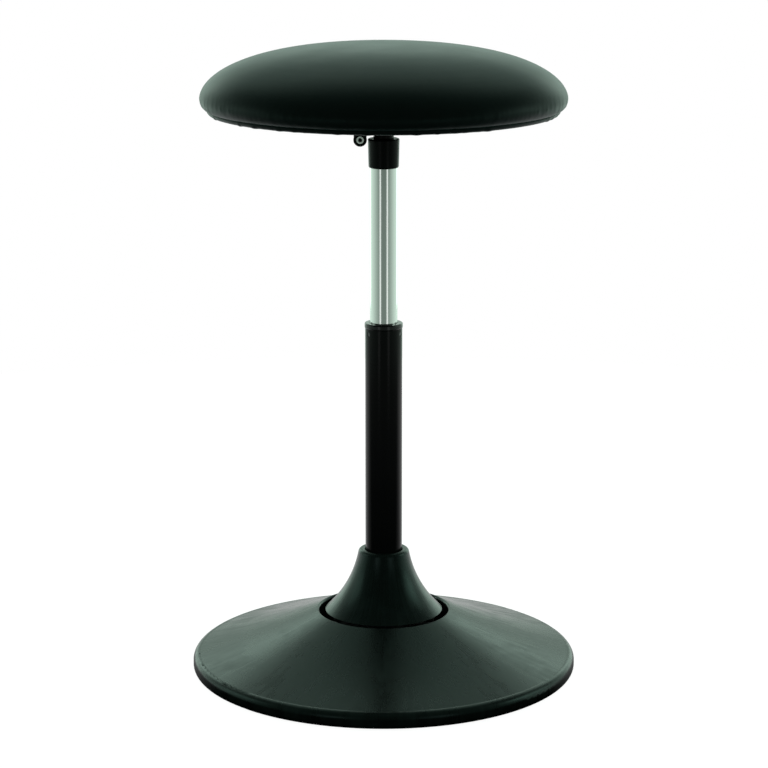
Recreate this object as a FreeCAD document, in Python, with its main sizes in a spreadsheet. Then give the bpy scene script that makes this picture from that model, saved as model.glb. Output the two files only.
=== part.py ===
import FreeCAD, Part
import math
import os
import Sketcher
from types import SimpleNamespace
from FreeCAD import Vector

# Driving dimensions, in millimetres, with angles in degrees.
driving = {
    # Round foot: moulded cover over a steel ballast plate
    "base_diameter": 398.4,
    "base_height": 62.4,
    "rim_height": 17.8,
    "rim_round": 7.4,
    "rim_foot_round": 5.2,
    "rim_lift": 1.0,
    "dome_sag": 3.0,
    "cover_wall": 4.5,
    "lip_round": 2.5,
    "lip_depth": 12.0,
    "skirt_wall": 8.5,
    "land_width": 18.0,
    "ballast_gap": 1.0,
    "ballast_lift": 3.0,
    "ballast_thickness": 10.0,
    "ring_height": 5.0,
    "ring_width": 10.0,
    "ring_inset": 22.0,
    "ring_round": 1.0,
    # Tilting joint: a ball between two cups, with rubber rings round it
    "ball_diameter": 22.0,
    "ball_clearance": 0.05,
    "cup_edge_gap": 3.0,
    "lower_cup_wall": 1.9,
    "lower_cup_flare": 2.5,
    "spigot_diameter": 20.0,
    "spigot_end_gap": 1.0,
    "housing_floor": 4.0,
    "housing_wall": 9.0,
    "floor_hole_gap": 2.0,
    "flange_gap": 1.5,
    "flange_thickness": 6.0,
    "flange_width": 17.0,
    "rubber_height": 11.0,
    "rubber_margin": 1.0,
    "rubber_waist": 1.2,
    "clamp_thickness": 4.0,
    "clamp_swing_gap": 5.0,
    "hub_recess_flare": 9.4,
    "hub_web": 4.0,
    "hub_wall": 5.95,
    "hub_top_wall": 5.45,
    "clip_room": 8.0,
    "clip_room_diameter": 18.0,
    # Column: tube, guide bush and flared cover
    "tube_wall": 1.8,
    "tube_length": 307.5,
    "tube_floor_thickness": 4.0,
    "bush_wall": 3.09,
    "bush_length": 75.0,
    "collar_height": 5.5,
    "collar_overhang": 0.5,
    "collar_round": 1.2,
    "bore_chamfer": 0.8,
    "lug_diameter": 4.4,
    "lug_drop": 5.0,
    "lug_proud": 1.4,
    "lug_turn": 95.0,
    "cone_foot_diameter": 121.6,
    "cone_height": 62.0,
    "cone_drop": 0.2,
    "cone_sag": 5.64,
    "cone_wall": 2.5,
    "cone_lip_width": 7.44,
    "cone_lip_rise": 2.9,
    "cone_lip_round": 4.4,
    "cone_lip_gap": 0.6,
    "cone_neck_rise": 2.0,
    "sleeve_length": 26.2,
    "sleeve_wall": 2.4,
    "opening_gap": 6.4,
    # Swivel bearing at the foot of the piston rod
    "race_thickness": 1.2,
    "race_width": 5.0,
    "race_bore_gap": 0.3,
    "bearing_ball_diameter": 3.0,
    "bearing_clearance": 0.05,
    "cage_thickness": 1.2,
    "rod_diameter": 10.0,
    "rod_foot_diameter": 8.0,
    "rod_foot_length": 9.0,
    "clip_thickness": 1.4,
    "clip_width": 3.5,
    "clip_gap": 0.3,
    "clip_opening": 5.0,
    "bump_height": 14.5,
    "bump_wall": 6.5,
    "bump_round": 2.0,
    # Gas spring
    "cylinder_diameter": 28.0,
    "cylinder_wall": 1.7,
    "cylinder_exposed": 159.0,
    "lift_drop": 150.0,
    "lift_rise": 50.0,
    "stop_gap": 3.0,
    "taper_depth": 27.0,
    "taper_shrink": 0.8,
    "guide_length": 12.0,
    "seal_length": 6.0,
    "piston_gap": 2.0,
    "piston_length": 12.0,
    "piston_ring_height": 3.0,
    "piston_ring_depth": 2.0,
    "piston_nut_length": 3.0,
    "piston_stud_diameter": 7.0,
    "valve_length": 45.0,
    "pin_diameter": 4.2,
    "pin_depth": 38.0,
    "pin_head_diameter": 8.0,
    "pin_head_height": 5.0,
    "pin_dome_rise": 0.8,
    "pin_travel": 3.0,
    "pin_head_gap": 1.0,
    # Seat socket, plate and release lever
    "cup_wall": 1.3,
    "cup_flare": 0.6,
    "cup_round": 2.0,
    "cup_roof": 2.2,
    "cup_roof_gap": 0.3,
    "neck_diameter": 20.6,
    "neck_bore": 12.4,
    "neck_headroom": 13.0,
    "slot_below": 4.3,
    "slot_above": 3.7,
    "slot_gap": 1.0,
    "plate_width": 140.0,
    "plate_thickness": 3.0,
    "plate_corner": 18.0,
    "plate_lip": 9.0,
    "bolt_spacing": 104.0,
    "bolt_turn": 45.0,
    "ear_thickness": 3.0,
    "ear_reach": 22.0,
    "ear_edge_gap": 0.3,
    "lever_diameter": 8.0,
    "lever_offset": 23.5,
    "lever_drop": 5.3,
    "lever_collar_wall": 2.0,
    "lever_straight": 38.0,
    "lever_bend": 18.0,
    "lever_turn": 47.0,
    "lever_reach": 100.0,
    "tab_width": 8.0,
    "tab_thickness": 4.0,
    "tab_gap": 0.3,
    "tab_overhang": 3.0,
    "bush_flange_diameter": 13.5,
    "bush_flange_thickness": 2.0,
    "bush_spigot_wall": 1.2,
    "lever_end_gap": 1.5,
    "lever_clip_thickness": 0.9,
    "lever_clip_width": 1.5,
    "grip_length": 62.0,
    "grip_wall": 2.6,
    "grip_swell": 1.2,
    "grip_round": 3.0,
    # Seat: plywood board, foam and leatherette cover
    "seat_diameter": 369.4,
    "crown_height": 55.2,
    "crown_edge": 34.0,
    "seat_edge_drop": 12.8,
    "seat_cover_thickness": 1.4,
    "seat_cover_gap": 0.3,
    "hem_width": 23.0,
    "cloth_thickness": 0.9,
    "cloth_edge_gap": 0.5,
    "board_thickness": 12.0,
    "board_inset": 15.4,
    "nut_flange_diameter": 19.0,
    "nut_flange_thickness": 1.5,
    "nut_barrel_diameter": 8.4,
    "nut_length": 8.5,
    "bolt_diameter": 6.0,
    "bolt_length": 14.0,
    "bolt_head_diameter": 11.0,
    "bolt_head_height": 4.0,
    "bolt_socket_width": 4.6,
    "bolt_socket_depth": 2.2,
    "washer_diameter": 14.0,
    "washer_thickness": 1.2,
    # Screws of the foot
    "screw_diameter": 5.0,
    "screw_head_diameter": 9.6,
    "screw_head_height": 3.2,
    "screw_depth": 12.0,
    "cover_screw_depth": 5.0,
    "grub_diameter": 6.0,
    "grub_drop": 12.0,
    # Clearances of running and seated fits
    "slide_clearance": 0.06,
    "fit_clearance": 0.05,
    "hole_clearance": 0.2,
}
cover_screw_count = 8
housing_screw_count = 4
clamp_screw_count = 6
lug_count = 3
grub_count = 3
bearing_ball_count = 10
bolt_count = 4

doc = FreeCAD.newDocument("balance_stool")
sheet = doc.addObject("Spreadsheet::Sheet", "Sizes")
for row, (name, value) in enumerate(driving.items(), start=1):
    sheet.set(f"A{row}", name)
    sheet.set(f"B{row}", str(value))
    sheet.setAlias(f"B{row}", name)
doc.recompute()


class Size:
    """A length that carries its number and the formula of driving dimensions behind it."""

    def __init__(self, number, formula):
        self.number = float(number)
        self.formula = formula

    def __add__(self, other):
        other = as_size(other)
        return Size(self.number + other.number, f"({self.formula} + {other.formula})")

    def __sub__(self, other):
        other = as_size(other)
        return Size(self.number - other.number, f"({self.formula} - {other.formula})")

    def __mul__(self, other):
        other = as_size(other)
        return Size(self.number * other.number, f"({self.formula} * {other.formula})")

    def __truediv__(self, other):
        other = as_size(other)
        return Size(self.number / other.number, f"({self.formula} / {other.formula})")

    def __neg__(self):
        return Size(-self.number, f"(0 - {self.formula})")


def as_size(value):
    return value if isinstance(value, Size) else Size(value, str(value))


def root(value):
    return Size(math.sqrt(value.number), f"sqrt({value.formula})")


def sine(angle):
    return Size(math.sin(math.radians(angle.number)), f"sin({angle.formula})")


def cosine(angle):
    return Size(math.cos(math.radians(angle.number)), f"cos({angle.formula})")


def bind(thing, path, value):
    thing.setExpression(path, as_size(value).formula)


size = SimpleNamespace(**{name: Size(value, f"Sizes.{name}") for name, value in driving.items()})

# Radii that neighbouring pieces share, from the gas spring outwards.
cylinder_radius = size.cylinder_diameter / 2
cylinder_bore = cylinder_radius - size.cylinder_wall
bush_bore = cylinder_radius + size.slide_clearance
bush_radius = bush_bore + size.bush_wall
tube_bore = bush_radius + size.fit_clearance
tube_radius = tube_bore + size.tube_wall
hub_bore = tube_radius + size.fit_clearance
hub_radius = hub_bore + size.hub_wall
flange_radius = hub_radius + size.flange_width
housing_bore = flange_radius + size.flange_gap
housing_radius = housing_bore + size.housing_wall
housing_screw_circle = housing_bore + size.housing_wall / 2
clamp_bore = hub_radius + size.clamp_swing_gap
cone_foot_radius = size.cone_foot_diameter / 2
opening_radius = cone_foot_radius + size.opening_gap
base_radius = size.base_diameter / 2
skirt_radius = base_radius - size.skirt_wall
ballast_radius = skirt_radius - size.ballast_gap
cover_screw_circle = skirt_radius - size.land_width / 2
ball_radius = size.ball_diameter / 2
ball_cup = ball_radius + size.ball_clearance
cup_edge_radius = root(ball_cup * ball_cup - size.cup_edge_gap * size.cup_edge_gap)
lower_cup_top_radius = cup_edge_radius + size.lower_cup_wall
lower_cup_foot_radius = lower_cup_top_radius + size.lower_cup_flare
pivot_flange_radius = lower_cup_foot_radius + size.lower_cup_flare * 2
rod_radius = size.rod_diameter / 2
rod_foot_radius = size.rod_foot_diameter / 2
race_bore = rod_foot_radius + size.race_bore_gap
race_radius = race_bore + size.race_width
bearing_circle = race_bore + size.race_width / 2
bearing_ball_radius = size.bearing_ball_diameter / 2
screw_radius = size.screw_diameter / 2
screw_head_radius = size.screw_head_diameter / 2

# Heights above the floor, from the foot upwards.
plate_top = size.ballast_lift + size.ballast_thickness
housing_floor_top = plate_top + size.housing_floor
flange_bottom = housing_floor_top + size.rubber_height
flange_top = flange_bottom + size.flange_thickness
pivot_height = flange_bottom + size.flange_thickness / 2
clamp_bottom = flange_top + size.rubber_height
clamp_top = clamp_bottom + size.clamp_thickness
cone_foot = size.base_height - size.cone_drop
cone_top = cone_foot + size.cone_height
hub_top = cone_top - size.sleeve_length
clip_room_floor = pivot_height + ball_cup + size.hub_web
tube_foot = clip_room_floor + size.clip_room
floor_top = tube_foot + size.tube_floor_thickness
lower_race_top = floor_top + size.race_thickness
bearing_ball_height = lower_race_top + size.bearing_clearance + bearing_ball_radius
upper_race_bottom = bearing_ball_height + bearing_ball_radius + size.bearing_clearance
rod_shoulder = upper_race_bottom + size.race_thickness
bump_top = rod_shoulder + size.bump_height
cylinder_bottom = bump_top + size.stop_gap + size.lift_drop
seal_bottom = cylinder_bottom + size.guide_length
seal_top = seal_bottom + size.seal_length
piston_bottom = seal_top + size.lift_rise + size.piston_gap
piston_top = piston_bottom + size.piston_length
tube_top = tube_foot + size.tube_length
collar_top = tube_top + size.collar_height
lug_height = tube_top - size.lug_drop
cup_bottom = collar_top + size.cylinder_exposed
cylinder_top = cup_bottom + size.taper_depth
valve_bottom = cylinder_top - size.valve_length
cup_ceiling = cylinder_top + size.cup_roof_gap
cup_top = cup_ceiling + size.cup_roof
pin_head_bottom = cylinder_top + size.pin_travel + size.pin_head_gap
pin_top = pin_head_bottom + size.pin_head_height
tab_bottom = pin_top + size.tab_gap
tab_top = tab_bottom + size.tab_thickness
lever_height = tab_bottom - size.lever_drop
seat_plate_bottom = tab_top + size.neck_headroom
seat_plate_top = seat_plate_bottom + size.plate_thickness
board_bottom = seat_plate_top + size.cloth_thickness
board_top = board_bottom + size.board_thickness
cover_bottom = board_bottom - size.seat_cover_thickness
widest_height = cover_bottom + size.seat_edge_drop
seat_radius = size.seat_diameter / 2
board_radius = seat_radius - size.board_inset
bolt_circle = root(size.bolt_spacing * size.bolt_spacing / 2)
lever_radius = size.lever_diameter / 2
lever_bore = lever_radius + size.fit_clearance
bush_spigot_radius = lever_bore + size.bush_spigot_wall
lever_front = size.ear_reach + size.bush_flange_thickness + size.lever_end_gap


def bulge(across, up, radius):
    """Corner reached by an arc that swells out of the outline, which runs anticlockwise."""
    return across, up, radius, True


def hollow(across, up, radius):
    """Corner reached by an arc that curves into the outline, which runs anticlockwise."""
    return across, up, radius, False


def arc_between(start, end, radius, swells):
    """Shorter arc from start to end, with its centre on the left of the way if it swells."""
    way = end - start
    middle = (start + end) / 2
    rise = math.sqrt(max(radius ** 2 - (way.Length / 2) ** 2, 0.0))
    left = Vector(-way.y, way.x, 0) / way.Length
    centre = middle + left * (rise if swells else -rise)
    first, last = (start, end) if swells else (end, start)
    angles = [math.atan2(point.y - centre.y, point.x - centre.x) for point in (first, last)]
    if angles[1] < angles[0]:
        angles[1] += 2 * math.pi
    return Part.ArcOfCircle(Part.Circle(centre, Vector(0, 0, 1), radius), *angles)


def fix_point(sketch, edge, end, across, up):
    """Ties one end of an edge to its two coordinates, or to an axis where a coordinate is 0."""
    for kind, axis, value in (("DistanceX", -2, as_size(across)), ("DistanceY", -1, as_size(up))):
        if value.formula == "0":
            sketch.addConstraint(Sketcher.Constraint("PointOnObject", edge, end, axis))
        else:
            index = sketch.addConstraint(Sketcher.Constraint(kind, -1, 1, edge, end, value.number))
            bind(sketch, f"Constraints[{index}]", value)


def fix_radius(sketch, edge, radius):
    index = sketch.addConstraint(Sketcher.Constraint("Radius", edge, radius.number))
    bind(sketch, f"Constraints[{index}]", radius)


def draw(sketch, corners, closed=True):
    """Lines and arcs from corner to corner, each corner tied to its formulas."""
    points = [Vector(as_size(corner[0]).number, as_size(corner[1]).number, 0) for corner in corners]
    steps = range(len(corners)) if closed else range(1, len(corners))
    edges = []
    for step in steps:
        corner = corners[step]
        if len(corner) == 2:
            edge = sketch.addGeometry(Part.LineSegment(points[step - 1], points[step]))
            ends = (1, 2)
        else:
            radius, swells = as_size(corner[2]), corner[3]
            edge = sketch.addGeometry(arc_between(points[step - 1], points[step], radius.number, swells))
            ends = (1, 2) if swells else (2, 1)
            fix_radius(sketch, edge, radius)
        edges.append((edge, ends))
        fix_point(sketch, edge, ends[1], corner[0], corner[1])
    for index, (edge, ends) in enumerate(edges):
        if index > 0 or closed:
            before, before_ends = edges[index - 1]
            joint = Sketcher.Constraint("Coincident", before, before_ends[1], edge, ends[0])
            sketch.addConstraint(joint)
    if not closed:
        fix_point(sketch, edges[0][0], edges[0][1][0], corners[0][0], corners[0][1])


def draw_circle(sketch, across, up, radius):
    across, up, radius = as_size(across), as_size(up), as_size(radius)
    centre = Vector(across.number, up.number, 0)
    edge = sketch.addGeometry(Part.Circle(centre, Vector(0, 0, 1), radius.number))
    fix_point(sketch, edge, 3, across, up)
    fix_radius(sketch, edge, radius)


sub_parts = []


def new_body(label):
    body = doc.addObject("PartDesign::Body", label)
    body.Label = label
    body.AllowCompound = True
    sub_parts.append(body)
    return body


def new_sketch(body, plane, name, offset=0):
    """Sketch on one of the body's own planes, moved along the plane's normal by the offset."""
    sketch = body.newObject("Sketcher::SketchObject", name)
    support = next(item for item in body.Origin.OriginFeatures if item.Role == plane)
    sketch.AttachmentSupport = [(support, "")]
    sketch.MapMode = "FlatFace"
    bind(sketch, "AttachmentOffset.Base.z", offset)
    return sketch


def spin(body, kind, name, corners, reach=0, plane="XZ_Plane", offset=0):
    """Profile turned about the sketch's upright axis, which stands at the reach from the middle."""
    sketch = new_sketch(body, plane, f"{name}_profile", offset)
    draw(sketch, corners)
    axis = "V_Axis"
    if as_size(reach).formula != "0":
        upright = Part.LineSegment(Vector(reach.number, 0, 0), Vector(reach.number, 1, 0))
        line = sketch.addGeometry(upright, True)
        fix_point(sketch, line, 1, reach, 0)
        fix_point(sketch, line, 2, reach, 1)
        axis = "Axis0"
    feature = body.newObject(f"PartDesign::{kind}", name)
    feature.Profile = sketch
    feature.ReferenceAxis = (sketch, [axis])
    feature.Angle = 360
    return feature


def turned(label, corners):
    body = new_body(label)
    spin(body, "Revolution", f"{label}_turn", corners)
    return body


def repeat(body, features, count):
    """Copies of the features spread evenly round the middle axis."""
    pattern = body.newObject("PartDesign::PolarPattern", f"{features[0].Name}_ring")
    pattern.Originals = features
    axis = next(item for item in body.Origin.OriginFeatures if item.Role == "Z_Axis")
    pattern.Axis = (axis, [""])
    pattern.Angle = 360
    pattern.Occurrences = count
    body.Tip = pattern


def drill(body, name, corners, reach, count):
    """Ring of upright holes, each the given half profile turned about its own axis."""
    repeat(body, [spin(body, "Groove", name, corners, reach)], count)


def turned_set(label, corners, reach, count):
    """Ring of equal turned pieces."""
    body = new_body(label)
    repeat(body, [spin(body, "Revolution", f"{label}_turn", corners, reach)], count)
    return body


def extrude(body, kind, name, sketch, length, reverse=False, symmetric=False):
    feature = body.newObject(f"PartDesign::{kind}", name)
    feature.Profile = sketch
    bind(feature, "Length", length)
    feature.Reversed = reverse
    if symmetric:
        feature.SideType = "Symmetric"
    return feature


def ring(inner, outer, bottom, top):
    return [(inner, bottom), (outer, bottom), (outer, top), (inner, top)]


def countersunk(reach, bottom, top, clearance):
    """Half profile of a countersunk screw or of its hole, head down."""
    head = reach + screw_head_radius + clearance
    shank = reach + screw_radius + clearance
    return [
        (reach, bottom),
        (head, bottom),
        (shank, bottom + screw_head_radius - screw_radius),
        (shank, top),
        (reach, top),
    ]


# Foot
def make_base_cover():
    rim_edge = base_radius - size.rim_round
    dome_end = opening_radius + size.lip_round
    run = rim_edge - dome_end
    rise = size.base_height - size.rim_height
    chord = root(run * run + rise * rise)
    dome_radius = chord * chord / (size.dome_sag * 8) + size.dome_sag / 2
    underside_drop = (size.dome_sag + size.cover_wall) * chord / run
    land_radius = skirt_radius - size.land_width
    lip_wall_radius = opening_radius + size.cover_wall
    lip_bottom = size.base_height - size.lip_depth

    def underside(radius):
        return size.rim_height + (rim_edge - radius) * rise / run - underside_drop

    body = turned("base_cover", [
        (skirt_radius, size.rim_lift),
        (base_radius - size.rim_foot_round, size.rim_lift),
        bulge(base_radius, size.rim_lift + size.rim_foot_round, size.rim_foot_round),
        (base_radius, size.rim_height - size.rim_round),
        bulge(rim_edge, size.rim_height, size.rim_round),
        hollow(dome_end, size.base_height, dome_radius),
        bulge(opening_radius, size.base_height - size.lip_round, size.lip_round),
        (opening_radius, lip_bottom),
        (lip_wall_radius, lip_bottom),
        (lip_wall_radius, underside(lip_wall_radius)),
        (land_radius, underside(land_radius)),
        (land_radius, plate_top),
        (skirt_radius, plate_top),
    ])
    reach = cover_screw_circle
    hole = ring(reach, reach + screw_radius, plate_top, plate_top + size.cover_screw_depth)
    drill(body, "cover_screw_holes", hole, reach, cover_screw_count)


def make_ballast_plate():
    ring_outer = ballast_radius - size.ring_inset
    ring_inner = ring_outer - size.ring_width
    spigot_radius = size.spigot_diameter / 2
    groove_top = size.ring_height
    body = turned("ballast_plate", [
        (spigot_radius, size.ballast_lift),
        (ring_inner, size.ballast_lift),
        (ring_inner, groove_top),
        (ring_outer, groove_top),
        (ring_outer, size.ballast_lift),
        (ballast_radius, size.ballast_lift),
        (ballast_radius, plate_top),
        (spigot_radius, plate_top),
    ])
    for name, reach, count in (
        ("cover_screw_seats", cover_screw_circle, cover_screw_count),
        ("housing_screw_seats", housing_screw_circle, housing_screw_count),
    ):
        hole = countersunk(reach, size.ballast_lift, plate_top, size.hole_clearance)
        drill(body, name, hole, reach, count)


def make_anti_slip_ring():
    outer = ballast_radius - size.ring_inset
    inner = outer - size.ring_width
    turned("anti_slip_ring", [
        bulge(inner + size.ring_round, 0, size.ring_round),
        (outer - size.ring_round, 0),
        bulge(outer, size.ring_round, size.ring_round),
        (outer, size.ring_height),
        (inner, size.ring_height),
        (inner, size.ring_round),
    ])


def make_foot_screws():
    cover_tip = plate_top + size.cover_screw_depth
    housing_tip = plate_top + size.screw_depth
    for label, reach, tip, count in (
        ("cover_screws", cover_screw_circle, cover_tip, cover_screw_count),
        ("housing_screws", housing_screw_circle, housing_tip, housing_screw_count),
    ):
        turned_set(label, countersunk(reach, size.ballast_lift, tip, 0), reach, count)
    reach = housing_screw_circle
    head_height = size.screw_head_height
    dome_radius = (screw_head_radius * screw_head_radius / head_height + head_height) / 2
    turned_set("clamp_screws", [
        (reach, clamp_bottom - size.screw_depth),
        (reach + screw_radius, clamp_bottom - size.screw_depth),
        (reach + screw_radius, clamp_top),
        (reach + screw_head_radius, clamp_top),
        bulge(reach, clamp_top + head_height, dome_radius),
    ], reach, clamp_screw_count)


# Tilting joint
def make_spring_housing():
    floor_hole = pivot_flange_radius + size.floor_hole_gap
    body = turned("spring_housing", [
        (floor_hole, plate_top),
        (housing_radius, plate_top),
        (housing_radius, clamp_bottom),
        (housing_bore, clamp_bottom),
        (housing_bore, housing_floor_top),
        (floor_hole, housing_floor_top),
    ])
    reach = housing_screw_circle
    lower = ring(reach, reach + screw_radius, plate_top, plate_top + size.screw_depth)
    upper = ring(reach, reach + screw_radius, clamp_bottom - size.screw_depth, clamp_bottom)
    drill(body, "floor_screw_holes", lower, reach, housing_screw_count)
    drill(body, "clamp_screw_holes", upper, reach, clamp_screw_count)


def make_pivot_cup():
    spigot_radius = size.spigot_diameter / 2
    turned("pivot_cup", [
        (0, size.ballast_lift + size.spigot_end_gap),
        (spigot_radius, size.ballast_lift + size.spigot_end_gap),
        (spigot_radius, plate_top),
        (pivot_flange_radius, plate_top),
        (pivot_flange_radius, housing_floor_top),
        (lower_cup_foot_radius, housing_floor_top),
        (lower_cup_top_radius, pivot_height - size.cup_edge_gap),
        (cup_edge_radius, pivot_height - size.cup_edge_gap),
        hollow(0, pivot_height - ball_cup, ball_cup),
    ])


def make_pivot_ball():
    ball = doc.addObject("Part::Sphere", "pivot_ball")
    ball.Label = "pivot_ball"
    bind(ball, "Radius", ball_radius)
    bind(ball, "Placement.Base.z", pivot_height)
    sub_parts.append(ball)


def make_rubber_rings():
    inner = hub_radius + size.rubber_margin
    outer = flange_radius - size.rubber_margin
    half_height = size.rubber_height / 2
    waist_radius = (half_height * half_height / size.rubber_waist + size.rubber_waist) / 2
    for label, bottom in (("lower_rubber_ring", housing_floor_top), ("upper_rubber_ring", flange_top)):
        top = bottom + size.rubber_height
        turned(label, [
            hollow(inner, bottom, waist_radius),
            (outer, bottom),
            hollow(outer, top, waist_radius),
            (inner, top),
        ])


def make_clamp_ring():
    body = turned("clamp_ring", ring(clamp_bore, housing_radius, clamp_bottom, clamp_top))
    reach = housing_screw_circle
    hole = ring(reach, reach + screw_radius + size.hole_clearance, clamp_bottom, clamp_top)
    drill(body, "clamp_ring_holes", hole, reach, clamp_screw_count)


def make_tilt_hub():
    room_radius = size.clip_room_diameter / 2
    recess_edge = cup_edge_radius + size.hub_recess_flare
    body = turned("tilt_hub", [
        (recess_edge, flange_bottom),
        (flange_radius, flange_bottom),
        (flange_radius, flange_top),
        (hub_radius, flange_top),
        (hub_bore + size.hub_top_wall, hub_top),
        (hub_bore, hub_top),
        (hub_bore, tube_foot),
        (room_radius, tube_foot),
        (room_radius, clip_room_floor),
        (0, clip_room_floor),
        (0, pivot_height + ball_cup),
        hollow(cup_edge_radius, pivot_height + size.cup_edge_gap, ball_cup),
    ])
    sketch = new_sketch(body, "YZ_Plane", "grub_hole_circle")
    draw_circle(sketch, 0, hub_top - size.grub_drop, size.grub_diameter / 2)
    repeat(body, [extrude(body, "Pocket", "grub_holes", sketch, hub_radius, reverse=True)], grub_count)


def make_tube_grub_screws():
    body = new_body("tube_grub_screws")
    sketch = new_sketch(body, "YZ_Plane", "grub_circle", hub_bore)
    draw_circle(sketch, 0, hub_top - size.grub_drop, size.grub_diameter / 2)
    repeat(body, [extrude(body, "Pad", "grub_screw", sketch, size.hub_top_wall)], grub_count)


# Column
def make_column_tube():
    body = turned("column_tube", ring(tube_bore, tube_radius, tube_foot, tube_top))
    sketch = new_sketch(body, "YZ_Plane", "lug_hole_circle")
    draw_circle(sketch, 0, lug_height, size.lug_diameter / 2 + size.hole_clearance)
    lug_hole = extrude(body, "Pocket", "lug_holes", sketch, tube_radius + size.tube_wall, reverse=True)
    repeat(body, [lug_hole], lug_count)
    bind(body, "Placement.Rotation.Angle", size.lug_turn)


def make_tube_floor():
    turned("tube_floor", ring(rod_foot_radius + size.race_bore_gap, tube_bore, tube_foot, floor_top))


def make_guide_bush():
    collar_radius = tube_radius + size.collar_overhang
    body = turned("guide_bush", [
        (bush_bore, tube_top - size.bush_length),
        (bush_radius, tube_top - size.bush_length),
        (bush_radius, tube_top),
        (collar_radius - size.collar_round, tube_top),
        bulge(collar_radius, tube_top + size.collar_round, size.collar_round),
        (collar_radius, collar_top - size.collar_round),
        bulge(collar_radius - size.collar_round, collar_top, size.collar_round),
        (bush_bore + size.bore_chamfer, collar_top),
        (bush_bore, collar_top - size.bore_chamfer),
    ])
    sketch = new_sketch(body, "YZ_Plane", "lug_circle", bush_radius - size.bush_wall / 2)
    draw_circle(sketch, 0, lug_height, size.lug_diameter / 2)
    repeat(body, [extrude(body, "Pad", "lug", sketch, size.bush_wall / 2 + size.lug_proud)], lug_count)
    bind(body, "Placement.Rotation.Angle", size.lug_turn)


def make_cone_cover():
    """Flared trumpet on a sleeve that slips over the tube and stands on the hub."""
    top_radius = tube_radius + size.cone_lip_width
    sleeve_bore = tube_radius + size.cone_lip_gap
    sleeve_radius = sleeve_bore + size.sleeve_wall
    run = cone_foot_radius - top_radius
    chord = root(run * run + size.cone_height * size.cone_height)
    flare_radius = chord * chord / (size.cone_sag * 8) + size.cone_sag / 2
    wall_across = size.cone_wall * chord / size.cone_height
    inner_top = cone_top - size.cone_neck_rise
    inner_top_radius = top_radius - size.cone_wall
    turned("cone_cover", [
        bulge(cone_foot_radius - wall_across, cone_foot, flare_radius + size.cone_wall),
        (cone_foot_radius, cone_foot),
        hollow(top_radius, cone_top, flare_radius),
        bulge(sleeve_bore, cone_top + size.cone_lip_rise, size.cone_lip_round),
        (sleeve_bore, hub_top),
        (sleeve_radius, hub_top),
        (sleeve_radius, inner_top - size.cone_neck_rise),
        (inner_top_radius, inner_top),
    ])


# Swivel bearing and gas spring
def make_swivel_bearing():
    turned("bearing_lower_race", ring(race_bore, race_radius, floor_top, lower_race_top))
    turned("bearing_upper_race", ring(race_bore, race_radius, upper_race_bottom, rod_shoulder))
    turned_set("bearing_balls", [
        (bearing_circle, bearing_ball_height - bearing_ball_radius),
        bulge(bearing_circle + bearing_ball_radius, bearing_ball_height, bearing_ball_radius),
        bulge(bearing_circle, bearing_ball_height + bearing_ball_radius, bearing_ball_radius),
    ], bearing_circle, bearing_ball_count)
    cage_bottom = bearing_ball_height - size.cage_thickness / 2
    cage_top = bearing_ball_height + size.cage_thickness / 2
    cage = turned("bearing_cage", ring(race_bore, race_radius, cage_bottom, cage_top))
    pocket_radius = bearing_ball_radius + size.bearing_clearance
    hole = ring(bearing_circle, bearing_circle + pocket_radius, cage_bottom, cage_top)
    drill(cage, "ball_pockets", hole, bearing_circle, bearing_ball_count)


def make_piston_rod():
    foot = tube_foot - size.rod_foot_length + size.tube_floor_thickness
    stud_radius = size.piston_stud_diameter / 2
    clip_top = tube_foot - size.clip_gap
    groove_radius = rod_foot_radius - size.race_thickness
    turned("piston_rod", [
        (0, foot),
        (rod_foot_radius, foot),
        (rod_foot_radius, clip_top - size.clip_thickness),
        (groove_radius, clip_top - size.clip_thickness),
        (groove_radius, clip_top),
        (rod_foot_radius, clip_top),
        (rod_foot_radius, rod_shoulder),
        (rod_radius, rod_shoulder),
        (rod_radius, piston_bottom),
        (stud_radius, piston_bottom),
        (stud_radius, piston_top + size.piston_nut_length),
        (0, piston_top + size.piston_nut_length),
    ])
    clip_bore = groove_radius + size.fit_clearance
    clip_radius = clip_bore + size.clip_width
    clip = turned("rod_clip", ring(clip_bore, clip_radius, clip_top - size.clip_thickness, clip_top))
    sketch = new_sketch(clip, "XY_Plane", "clip_slot", clip_top - size.clip_thickness)
    half = size.clip_opening / 2
    draw(sketch, [(0, -half), (clip_radius, -half), (clip_radius, half), (0, half)])
    extrude(clip, "Pocket", "clip_mouth", sketch, size.clip_thickness, reverse=True)


def make_bump_stop():
    bore = rod_radius + size.fit_clearance
    outer = bore + size.bump_wall
    turned("bump_stop", [
        (bore, rod_shoulder),
        (outer, rod_shoulder),
        (outer, bump_top - size.bump_round),
        bulge(outer - size.bump_round, bump_top, size.bump_round),
        (bore, bump_top),
    ])


def make_piston():
    stud_radius = size.piston_stud_diameter / 2
    outer = cylinder_bore - size.slide_clearance * 2
    groove_radius = outer - size.piston_ring_depth
    middle = piston_bottom + size.piston_length / 2
    ring_bottom = middle - size.piston_ring_height / 2
    ring_top = middle + size.piston_ring_height / 2
    turned("piston", [
        (stud_radius, piston_bottom),
        (outer, piston_bottom),
        (outer, ring_bottom),
        (groove_radius, ring_bottom),
        (groove_radius, ring_top),
        (outer, ring_top),
        (outer, piston_top),
        (stud_radius, piston_top),
    ])
    ring_radius = cylinder_bore - size.slide_clearance
    turned("piston_ring", ring(groove_radius, ring_radius, ring_bottom, ring_top))


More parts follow.
